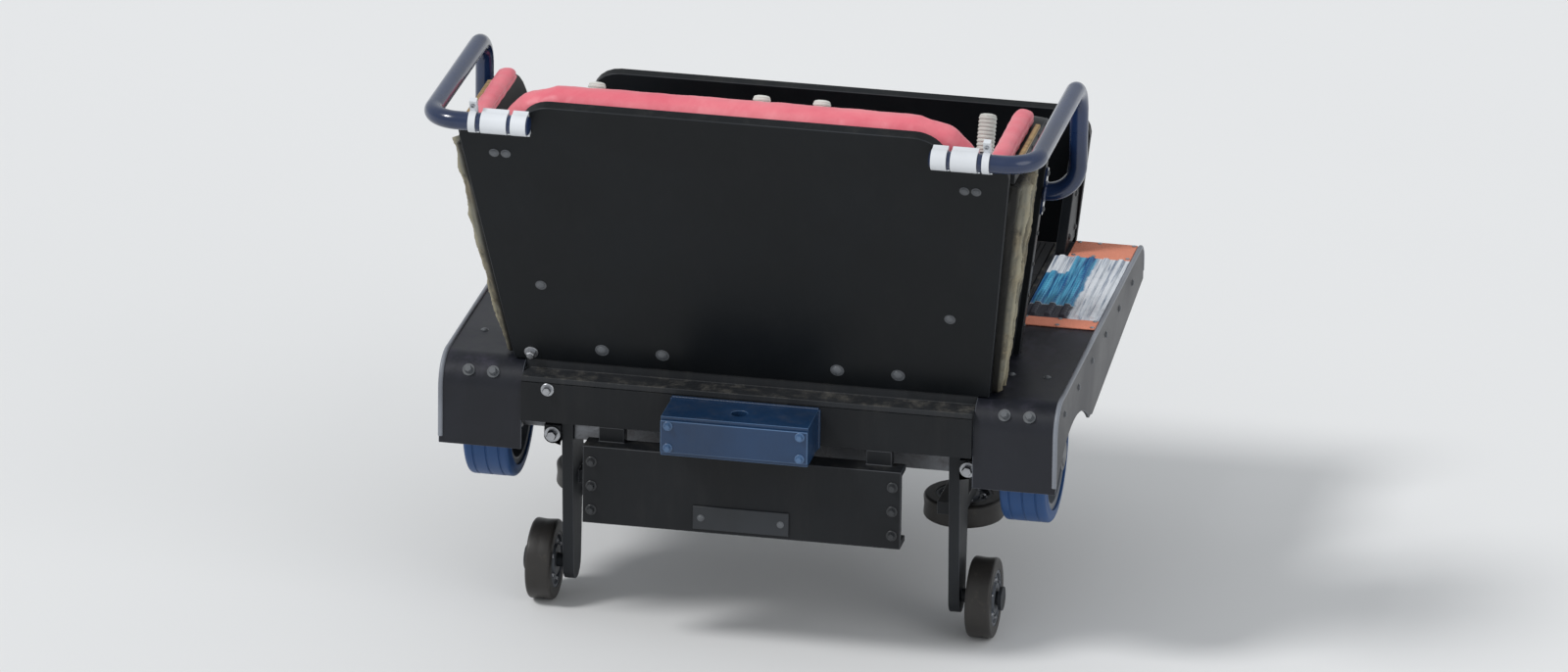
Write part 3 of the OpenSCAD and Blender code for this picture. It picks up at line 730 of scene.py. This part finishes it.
def fender_trim():
    """The bead round each fender's outer edge, its pale grey a painted highlight of the lit edge, and bolts
    in its rear face and along its skirt.
    """
    outline = [(-0.195, 0.140)] + arc(-0.135, 0.240, 0.060, 180, 90, 10)
    outline += arc(0.738, 0.270, 0.030, 90, 0, 6) + [(0.768, 0.243)]
    for side, flip in SIDES.items():
        path = [flip @ Vector((0.6085, y, z)) for y, z in outline]
        tube("fender_bead_" + side, path, 0.0048, PALE_BEAD_HIGHLIGHT, "fender_grey")
    slope = rad(38)
    spots = [((x, -0.135 - 0.06 * math.cos(slope), 0.24 + 0.06 * math.sin(slope)),
              (0, -math.cos(slope), math.sin(slope)), 0.008) for x in (0.506, 0.555)]
    fasten("fender_rear_bolts", hex_bolt, paired(spots), GREY_BOLT, "fender_grey")
    spots = [((0.612, y, 0.262), OUT, 0.006) for y in (-0.11, 0.04, 0.19, 0.34, 0.49, 0.64)]
    spots += [((x, -0.02, SILL), UP, 0.006) for x in (0.49, 0.56)]
    fasten("fender_side_bolts", dome_bolt, paired(spots), GREY_BOLT, "fender_grey")


# Carved sides
def carvings():
    """Root-like strands that climb back and up over a rough ground, deepest between the roots."""
    low, high = 0.006, SIDE_H - 0.034
    # Columns: place at the bottom and at the top, radius at the bottom and at the top, sway, its phase
    roots = [
        (-0.168, -0.348, 0.016, 0.030, 0.004, 0.4), (-0.134, -0.286, 0.018, 0.036, 0.006, 2.1),
        (-0.100, -0.216, 0.016, 0.034, 0.005, 4.0), (-0.072, -0.154, 0.011, 0.030, 0.003, 5.2),
        (-0.150, -0.250, 0.006, 0.008, 0.022, 1.2), (-0.084, -0.262, 0.005, 0.008, 0.018, 3.3),
        (-0.118, -0.176, 0.005, 0.006, 0.020, 0.2),
    ]

    def climbed(z):
        return (z - low) / (high - low)

    def rear_edge(z):
        return -0.1311 - 0.3814 * z

    def front_edge(z):
        return -0.058 - 0.066 * climbed(z)

    def depth(y, z, seed):
        share = climbed(z)
        best = 0.0055 + 0.0035 * noise.noise(Vector((y * 60, z * 14, seed)))
        for i, (y0, y1, r0, r1, sway, phase) in enumerate(roots):
            thin = i > 3
            middle = y0 + (y1 - y0) * share + sway * math.sin(share * (9 if thin else 6) + phase + seed)
            r = r0 + (r1 - r0) * share
            r *= 1 + 0.16 * noise.noise(Vector((i * 3.1, z * 18, seed)))
            off = (y - middle) / r
            if abs(off) < 1:
                ridges = 0.09 * math.sin(off * 9 + z * 46 + i) + 0.07 * math.sin(off * 17 - z * 80)
                ridges += 0.10 * noise.noise(Vector((y * 420, z * 60, seed + i)))
                groove = 0.5 + 0.5 * math.cos(off * 6.0 + 1.4 * math.sin(share * 8 + i * 2 + seed))
                body = 0.95 if thin else 0.52 + 0.46 * groove
                lift = 0.010 + 0.016 * share if thin else 0.006
                rise = lift + r * math.sqrt(1 - off * off) * (body + 0.7 * ridges)
                best = max(best, rise)
        return max(0.003, best)

    def share_of(place):
        return min(1, place.x / (0.022 + 0.020 * climbed(place.z)))

    for side, flip in SIDES.items():
        seed = 0.0 if side == "right" else 7.0

        def spot(u, v):
            z = low + v * (high - low)
            return rear_edge(z) + u * (front_edge(z) - rear_edge(z)), z

        def top(u, v):
            y, z = spot(u, v)
            wide = front_edge(z) - rear_edge(z)
            rim = min(1, min(u, 1 - u) * wide / 0.006, (1 - v) / 0.012, v / 0.008)
            return flip @ SIDE @ Vector((0.0003 + depth(y, z, seed) * (0.55 + 0.45 * rim), y, z))

        def base(u, v):
            y, z = spot(u, v)
            return flip @ SIDE @ Vector((0.0003, y, z))

        me = to_mesh("carving_" + side, relief(74, 230, top, base), 75)
        inward = (flip @ SIDE).inverted()
        marks = me.attributes.new("relief", "FLOAT", "POINT")
        marks.data.foreach_set("value", [share_of(inward @ v.co) for v in me.vertices])
        link("carved_roots_" + side, me, "carved_wood", replaces=("carved_panel_" + side,))


def side_strips():
    """Wood strips on the sides' top edges, outboard of the armrests."""
    bm = bmesh.new()
    for flip in SIDES.values():
        block(bm, (0.0035, -0.331, SIDE_H + 0.0003), (0.0138, -0.072, SIDE_H + 0.0085), flip @ SIDE)
    rounded(piece("side_strips", bm, CORNER, "carved_wood", materials=(TRIM_WOOD,)), 0.002)


# Lap bars
def lap_bars():
    """Foam sleeves with end caps and a seam, ribbed grips, pivot nuts and bracket bolts."""
    half = 0.14
    for side, flip in SIDES.items():
        frame = flip @ BAR
        body = "lap_bar_" + side
        across = frame @ turned((0, 0, BAR_REACH), 90, "Y")
        bm = bmesh.new()
        profile = [(0.0144, -half), (0.024, -half)] + arc(0.024, 0.016 - half, 0.016, -90, 0, 5)
        for i in range(1, 24):
            z = (half - 0.016) * (i / 12 - 1)
            profile.append((0.0396 - 0.0006 * math.cos(i * 1.7), z))
        profile += arc(0.024, half - 0.016, 0.016, 0, 90, 5) + [(0.024, half), (0.0144, half)]
        ring(bm, profile, across, 48)
        for v in bm.verts:
            v.co += v.co.normalized() * 0.0008 * noise.noise(v.co * 22)
        sleeve = piece("lap_bar_sleeve_" + side, bm, 50, "bar_pad", body, replaces=("lap_bar_pad_" + side,))
        seam = [frame @ Vector((x, 0.0395, BAR_REACH + 0.004)) for x in np.linspace(-0.124, 0.124, 20)]
        tube("sleeve_seam_" + side, seam, 0.0015, MATERIAL["bar_pad"], "bar_pad", body)
        bm = bmesh.new()
        for x in (-0.165, 0.165):
            stick = frame @ turned((x, 0, BAR_REACH), -70, "X")
            grips = [(0.0142, 0.022), (0.0165, 0.022)]
            for i in range(9):
                z = 0.026 + i * 0.0075
                grips += [(0.0165, z), (0.0178, z + 0.0012), (0.0178, z + 0.0042), (0.0165, z + 0.0054)]
            grips += [(0.0165, 0.094), (0.014, 0.0965), (0.008, 0.098), (0, 0.0985)]
            lathe(bm, grips, stick, 24)
        piece("lap_bar_grips_" + side, bm, 40, "bar_pad", body, (GRIP,))
    spots = [((x, y, 0.2923), UP, 0.0055) for x in (0.185, 0.265) for y in (0.488, 0.572)]
    spots += [((x, 0.53, 0.33), (out, 0, 0), 0.009) for x, out in ((0.179, -1), (0.271, 1))]
    fasten("bracket_bolts", hex_bolt, paired(spots), ZINC)


# Floor and seat base
def floor_mats():
    """Ribbed rubber mats round the lap bars' brackets."""
    # Columns: lowest x, highest x, rear edge, front edge
    mats = [(-0.43, 0.43, 0.322, 0.474), (-0.43, 0.43, 0.586, 0.770), (-0.168, 0.168, 0.478, 0.582),
            (0.282, 0.43, 0.478, 0.582), (-0.43, -0.282, 0.478, 0.582)]
    margin = 0.006
    pitch = 0.010
    bm = bmesh.new()
    for x0, x1, y0, y1 in mats:
        block(bm, (x0, y0, FLOOR_TOP + 0.0002), (x1, y1, FLOOR_TOP + 0.0022))
        for i in range(int((x1 - x0 - 2 * margin) / pitch)):
            x = x0 + 0.008 + i * pitch
            block(bm, (x, y0 + margin, FLOOR_TOP + 0.002), (x + pitch / 2, y1 - margin, FLOOR_TOP + 0.0036))
    rounded(piece("floor_mats", bm, CORNER, "floor_dark", materials=(MAT_RUBBER,)), 0.0006)


# Bolts of the panels and the frame
def panel_bolts():
    """The bolts seen in the photograph, and those that hold the panels of a car like it."""
    rear = []
    for x, v, r in ((0.293, 0.038, 0.0105), (0.173, 0.038, 0.0105), (0.403, 0.194, 0.0085),
                    (0.448, 0.524, 0.0075), (0.471, 0.524, 0.0075)):
        rear += placed(BACK, UP, r, (x, v, 0))
    fasten("back_panel_bolts", dome_bolt, paired(rear), GREY_BOLT, "panel_black")
    bright = placed(BACK, UP, 0.009, (0.435, 0.018, 0))
    bright.append(((0.393, -0.205, 0.258), REAR, 0.0085))
    lug_spots = paired([((0.414, -0.0602, 0.110), REAR, 0.0105)])
    fasten("frame_bolts", hex_bolt, mirrored(bright) + lug_spots, ZINC)
    member = [((0.298, -0.235, z), REAR, 0.007) for z in (0.128, 0.078, 0.028)]
    fasten("cross_member_bolts", hex_bolt, paired(member), BLACK_BOLT)
    bm = bmesh.new()
    for flip in SIDES.values():
        lug = [(0.3975, 0.128), (0.3975, 0.094)] + arc(0.414, 0.108, 0.018, 200, 340, 8) + [(0.4305, 0.128)]
        prism(bm, lug, 0, 0.038, flip @ turned((0, -0.022, 0), 90, "X"))
    rounded(piece("spindle_lugs", bm, CORNER, "carrier_grey"))
    cover = [((0.130, -0.3163, z), REAR, 0.0062) for z in (0.2025, 0.2475)]
    fasten("cover_bolts", hex_bolt, paired(cover), WORN["coupler_navy"], "coupler_navy")
    plate = [((0.079, -0.239, 0.032), REAR, 0.0055)]
    fasten("plate_bolts", dome_bolt, paired(plate), GREY_BOLT, "plate_dark")
    clamps = [(0.409, 0.5893), (0.443, 0.5893), (0.472, 0.5893), (0.5, 0.5893), (0.5, 0.6502)]
    clamps = placed(BACK, UP, 0.0042, *[(x, v, 0.012) for x, v in clamps])
    fasten("clamp_bolts", socket_bolt, paired(clamps), ZINC, "clamp_bright")
    front = []
    for x in (0.12, 0.3, 0.45):
        front += placed(FRONT, (0, 0, -1), 0.0085, (x, 0.035, 0), (x + 0.01, 0.285, 0))
    drawbar = [((0.055, 0.794, z), (0, 1, 0), 0.0065) for z in (0.207, 0.243)]
    fasten("front_bolts", dome_bolt, paired(front), BLACK_BOLT, "panel_black")
    fasten("drawbar_bolts", hex_bolt, paired(drawbar), ZINC)
    rim_run = [(y, SIDE_H - 0.012) for y in (-0.28, -0.215, -0.15, -0.085)]
    rim_run += arc(-0.038, SIDE_H - 0.15, 0.138, 75, 0, 3)
    rim = placed(SIDE, OUT, 0.0042, *[(0.014, y, z) for y, z in rim_run])
    rim += placed(SIDE, OUT, 0.0042, *[(0.014, 0.1, z) for z in (0.06, 0.125, 0.19, 0.255, 0.32)])
    fasten("side_rim_rivets", dome_bolt, paired(rim), BLACK_BOLT, "panel_black")
    feet = placed(SIDE, OUT, 0.0052, (0.0182, 0.1, 0.3061), (0.0182, 0.1, 0.3815))
    fasten("rail_foot_bolts", dome_bolt, paired(feet), GREY_BOLT, "rail_navy")
    wing = placed(SIDE, OUT, 0.006, (0, 0.69, 0.03), (0, 0.75, 0.03), (0, 0.70, 0.12))
    fasten("wing_bolts", dome_bolt, paired(wing), BLACK_BOLT, "panel_black")


def welds():
    """Weld beads on the coupler and the frame, and the grab rails' flanges and end caps."""
    runs = [((-0.145, -0.2055, z), (0.145, -0.2055, z)) for z in (0.1845, 0.2655)]
    runs += [((x, -0.2055, 0.185), (x, -0.2055, 0.265)) for x in (-0.1455, 0.1455)]
    weld("coupler_welds", runs, "coupler_navy")
    runs = []
    for sign in (-1, 1):
        for x in (0.295, 0.345):
            runs.append(((sign * x, -0.1645, 0.192), (sign * x, -0.1645, 0.268)))
        runs += [((sign * 0.296, y, 0.175), (sign * 0.344, y, 0.175)) for y in (-0.0405, 0.0405)]
        runs.append(((sign * 0.036, 0.780, 0.246), (sign * 0.036, 0.780, 0.204)))
    weld("frame_welds", runs, "frame_black")
    bm = bmesh.new()
    for flip in SIDES.values():
        foot = flip @ SIDE @ turned((0.0142, 0.1, 0.3438), 90, "Y")
        prism(bm, arc(0.038, 0, 0.0115, -90, 90, 8) + arc(-0.038, 0, 0.0115, 90, 270, 8), 0, 0.004, foot)
        lathe(bm, [(0.0178, 0.003), (0.0212, 0.0045), (0.0184, 0.0075)], foot, 32)
        cap = [(0.0182, -0.002), (0.0182, 0.0005), (0.015, 0.0025), (0.008, 0.0035), (0, 0.0038)]
        lathe(bm, cap, flip @ turned((0.392, -0.3967, 0.8692), -90, "Y"), 24)
    piece("rail_feet_and_caps", bm, 40, "rail_navy")


# Pads
# Places of the sewn lines, and of the back pad's front face and roll, in the pads' own frames
CHANNELS = [0.0, 0.108, 0.216, 0.324]
SEAT_SEAMS = [0.114, 0.220, 0.326]
PAD_FRONT = -0.098
ROLL_V = 0.555
SIMULATED_FRAMES = 20


class Pad:
    """A soft pad, grown from its CAD solid: remeshed, blown up as cloth, then sewn."""

    def __init__(self, name, node, voxel, held, cap, frame):
        self.node = node
        self.frame = frame
        self.cap = cap
        self.o = add_object(name, nodes[node].data.copy())
        self.o.data.materials.clear()
        remesh = self.o.modifiers.new("remesh", "REMESH")
        remesh.mode = "VOXEL"
        remesh.voxel_size = voxel
        self.keep_shape()
        self.move(self.points() - 0.003 * self.normals())
        self.start = self.points()
        group = self.o.vertex_groups.new(name="held")
        inward = frame.inverted()
        group.add([v.index for v in self.o.data.vertices if held(inward @ v.co)], 1.0, "REPLACE")
        cloth = self.o.modifiers.new("cloth", "CLOTH").settings
        cloth.quality = 4
        cloth.mass = 0.3
        cloth.tension_stiffness = 12
        cloth.compression_stiffness = 12
        cloth.shear_stiffness = 5
        cloth.bending_stiffness = 0.4
        cloth.vertex_group_mass = "held"
        cloth.use_pressure = True
        cloth.uniform_pressure_force = 4
        cloth.effector_weights.gravity = 0

    def keep_shape(self):
        graph = bpy.context.evaluated_depsgraph_get()
        new = bpy.data.meshes.new_from_object(self.o.evaluated_get(graph))
        self.o.modifiers.clear()
        self.o.data = new

    def read(self, rows, key):
        flat = np.empty(len(rows) * 3)
        rows.foreach_get(key, flat)
        return flat.reshape(-1, 3)

    def points(self):
        return self.read(self.o.data.vertices, "co")

    def normals(self):
        return self.read(self.o.data.vertex_normals, "vector")

    def move(self, points):
        self.o.data.vertices.foreach_set("co", points.ravel())
        self.o.data.update()

    def settle(self):
        """Keeps the simulated shape, within the cap, and smooths it with one subdivision."""
        self.keep_shape()
        moved = self.points() - self.start
        length = np.linalg.norm(moved, axis=1, keepdims=True)
        self.move(self.start + moved * np.minimum(1, self.cap / np.maximum(length, 1e-9)))
        fine = self.o.modifiers.new("fine", "SUBSURF")
        fine.levels = 1
        fine.render_levels = 1
        self.keep_shape()

    def sew(self, press):
        """Moves each point out along its normal by press(place, normal), both in the pad's own frame."""
        inward = np.array(self.frame.inverted())
        points = self.points()
        normals = self.normals()
        local = points @ inward[:3, :3].T + inward[:3, 3]
        facing = normals @ inward[:3, :3].T
        self.move(points + normals * press(local, facing)[:, None])

    def finish(self, fill):
        self.o.data.shade_smooth()
        self.o.data.materials.append(MATERIAL["pad_rose"])
        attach(self.o, "root")
        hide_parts(self.node)
        self.tree = BVHTree.FromPolygons([v.co for v in self.o.data.vertices],
                                         [face.vertices for face in self.o.data.polygons])

    def on_skin(self, place, lift):
        spot, normal, _, _ = self.tree.find_nearest(Vector(place))
        return spot + normal * lift, normal


def near(values, line, width):
    return np.exp(-((values - line) / width) ** 2)


def wrinkles(p, x_scale, y_scale, z_scale, seed=0):
    """Smooth noise at each point."""
    return np.array([noise.noise(Vector((x * x_scale, y * y_scale, z * z_scale + seed))) for x, y, z in p])


def seam(away, along, pitch, seed, sink=0.0045, width=0.0042):
    """The skin at a sewn line: it sinks at the line, and small folds run off the line and fade."""
    wave = np.sin(along * 2 * math.pi / pitch + 2 * np.sin(along * 37 + seed))
    folds = 0.0007 * wave * np.exp(-np.abs(away) / 0.016) * (1 - near(away, 0, 0.004))
    return folds - sink * near(away, 0, width)


def piping(name, pad, places, r, closed=False):
    skin = [pad.on_skin(place, r * 0.35)[0] for place in places]
    tube(name, skin, r, PIPING, "pad_rose", closed=closed)


def stitches(name, runs):
    """Short threads along (pad, places) runs: each lies on its pad's skin."""
    bm = bmesh.new()
    pitch = 0.009
    for pad, places in runs:
        for a, b in zip(places, places[1:]):
            a, b = Vector(a), Vector(b)
            count = max(1, round((b - a).length / pitch))
            for i in range(count):
                spot, normal = pad.on_skin(a.lerp(b, (i + 0.5) / count), 0.0003)
                along = (b - a).normalized()
                side = normal.cross(along).normalized()
                frame = Matrix((side, along, normal)).transposed().to_4x4()
                frame.translation = spot
                block(bm, (-0.0006, -0.003, -0.0006), (0.0006, 0.003, 0.0005), frame)
    piece(name, bm, 60, "pad_rose", materials=(THREAD,))


def beside(lines):
    """The two rows of stitches beside each sewn line."""
    return [x + off for x in lines for off in (-0.0065, 0.0065)]


def back_pad():
    lines = sorted({sign * x for x in CHANNELS for sign in (-1, 1)})

    def held(p):
        if p.z > -0.034 or p.y < 0.205:
            return True
        front = p.z < -0.085
        in_channel = p.y < ROLL_V and min(abs(p.x - x) for x in lines) < 0.0045
        return front and (in_channel or abs(p.y - ROLL_V) < 0.0045)

    return Pad("back_cushion", "back_pad", 0.0085, held, 0.011, BACK), lines


def sew_back(pad, lines):
    def press(p, n):
        front = np.clip(-n[:, 2] * 2, 0, 1)
        below = p[:, 1] < ROLL_V + 0.002
        out = np.zeros(len(p))
        for x in lines:
            out += seam(p[:, 0] - x, p[:, 1], 0.021, x * 40) * front * below
        out += seam(p[:, 1] - ROLL_V, p[:, 0], 0.026, 1.0, 0.0055, 0.0045) * front
        crease = 0.0013 * wrinkles(p, 26, 7, 9) + 0.0004 * wrinkles(p, 90, 26, 40)
        return out + crease * (p[:, 2] < -0.026)

    pad.sew(press)
    pad.finish(0.7)
    front = [BACK @ Vector((x, ROLL_V, PAD_FRONT - 0.006)) for x in np.linspace(-0.415, 0.415, 90)]
    piping("back_roll_piping", pad, front, 0.0042)
    heights = np.linspace(0.215, ROLL_V - 0.01, 8)
    runs = [(pad, [BACK @ Vector((x, v, PAD_FRONT - 0.01)) for v in heights]) for x in beside(lines)]
    across = np.linspace(-0.41, 0.41, 16)
    runs.append((pad, [BACK @ Vector((x, ROLL_V - 0.009, PAD_FRONT - 0.01)) for x in across]))
    return runs


def seat_cushion(side):
    flip = SIDES[side]

    def held(p):
        top = p.z > 0.474
        return p.z < 0.406 or (top and min(abs(p.x - x) for x in SEAT_SEAMS) < 0.004 and -0.07 < p.y < 0.32)

    return Pad("seat_pad_" + side, "seat_cushion_" + side, 0.0078, held, 0.010, flip)


def round_path(x0, x1, y0, y1, z, flip):
    """A closed run round a cushion's edge, with points about 20 mm apart or less."""
    r = 0.034
    corners = [(x1 - r, y1 - r, 0), (x0 + r, y1 - r, 90), (x0 + r, y0 + r, 180), (x1 - r, y0 + r, 270)]
    path = []
    for x, y, start in corners:
        path += [flip @ Vector((a, b, z)) for a, b in arc(x, y, r, start, start + 90, 10)]
    dense = []
    for a, b in zip(path, path[1:] + path[:1]):
        steps = max(2, int((b - a).length / 0.02))
        dense += [a.lerp(b, t) for t in np.linspace(0, 1, steps)[:-1]]
    return dense


def sew_seat(pad, side):
    flip = SIDES[side]

    def press(p, n):
        top = np.clip(n[:, 2] * 2, 0, 1) * (p[:, 1] > -0.085) * (p[:, 1] < 0.335)
        out = np.zeros(len(p))
        for x in SEAT_SEAMS:
            out += seam(p[:, 0] - x, p[:, 1], 0.023, x * 50) * top
        worn = near(p[:, 0], 0.22, 0.12) * near(p[:, 1], 0.1, 0.13) * top
        return out + 0.0014 * wrinkles(p, 20, 9, 9, len(side)) * (p[:, 2] > 0.404) - 0.004 * worn

    pad.sew(press)
    pad.finish(0.65)
    for name, z, inset in (("upper", 0.474, 0.006), ("lower", 0.408, 0.0)):
        path = round_path(0.008 + inset, 0.432 - inset, -0.101 + inset, 0.35 - inset, z, flip)
        piping(f"seat_piping_{name}_{side}", pad, path, 0.004, True)
    along = np.linspace(-0.075, 0.325, 8)
    return [(pad, [flip @ Vector((x, y, 0.5)) for y in along]) for x in beside(SEAT_SEAMS)]


def armrest(side):
    frame = SIDES[side] @ SIDE

    def held(p):
        return p.z < SIDE_H + 0.007

    return Pad("armrest_cushion_" + side, "armrest_pad_" + side, 0.0055, held, 0.006, frame)


def sew_armrest(pad, side):
    def press(p, n):
        fold = np.sin(p[:, 1] * 2 * math.pi / 0.045) * 0.0004
        sunk = 0.0020 * near(p[:, 2], SIDE_H + 0.0115, 0.003)
        return 0.0010 * wrinkles(p, 40, 30, 30, len(side)) + fold - sunk

    pad.sew(press)
    pad.finish(0.7)
    frame = SIDES[side] @ SIDE
    along = np.linspace(-0.33, -0.075, 12)
    return [(pad, [frame @ Vector((x, y, SIDE_H + 0.0145)) for y in along]) for x in (-0.049, 0.005)]


def pads():
    back, lines = back_pad()
    seats = {side: seat_cushion(side) for side in SIDES}
    rests = {side: armrest(side) for side in SIDES}
    every = [back, *seats.values(), *rests.values()]
    for number in range(1, SIMULATED_FRAMES + 1):
        scene.frame_set(number)
    for pad in every:
        pad.settle()
    scene.frame_set(1)
    runs = sew_back(back, lines)
    for side in SIDES:
        runs += sew_seat(seats[side], side)
        runs += sew_armrest(rests[side], side)
    stitches("pad_stitches", runs)


# Stage and light
def stage():
    """A pale floor under the lowest wheels, an even sky and two soft lamps."""
    z = cad_low.z - 0.0005
    me = bpy.data.meshes.new("floor")
    me.from_pydata([(-80, -80, z), (80, -80, z), (80, 80, z), (-80, 80, z)], [], [(0, 1, 2, 3)])
    floor = add_object("floor", me)
    s = Shader("floor_pale")
    base = s.mix(s.noise(0.6, 3), (0.79, 0.79, 0.79, 1), (0.82, 0.82, 0.815, 1))
    me.materials.append(s.done(base, 0.9, 0.1))
    world = bpy.data.worlds.new("studio")
    scene.world = world
    world.use_nodes = True
    sky = world.node_tree.nodes["Background"]
    sky.inputs["Color"].default_value = (0.93, 0.965, 1.0, 1)
    sky.inputs["Strength"].default_value = 0.58
    # Columns: name, direction it comes from, angle in degrees, strength
    lamps = [("key", (-0.75, -0.50, 1.0), 14, 1.55), ("fill", (0.9, -0.55, 0.55), 40, 0.5)]
    for name, source, angle, strength in lamps:
        data = bpy.data.lights.new(name, "SUN")
        data.angle = rad(angle)
        data.energy = strength
        lamp = add_object(name, data)
        lamp.rotation_mode = "QUATERNION"
        lamp.rotation_quaternion = Vector(source).to_track_quat("Z", "Y")
        lamp.location = Vector(source) * 4
    scene.view_settings.view_transform = "Standard"


pads()
dress_all()
running_wheels()
small_wheels()
treads()
fender_trim()
carvings()
side_strips()
lap_bars()
floor_mats()
panel_bolts()
welds()
stage()
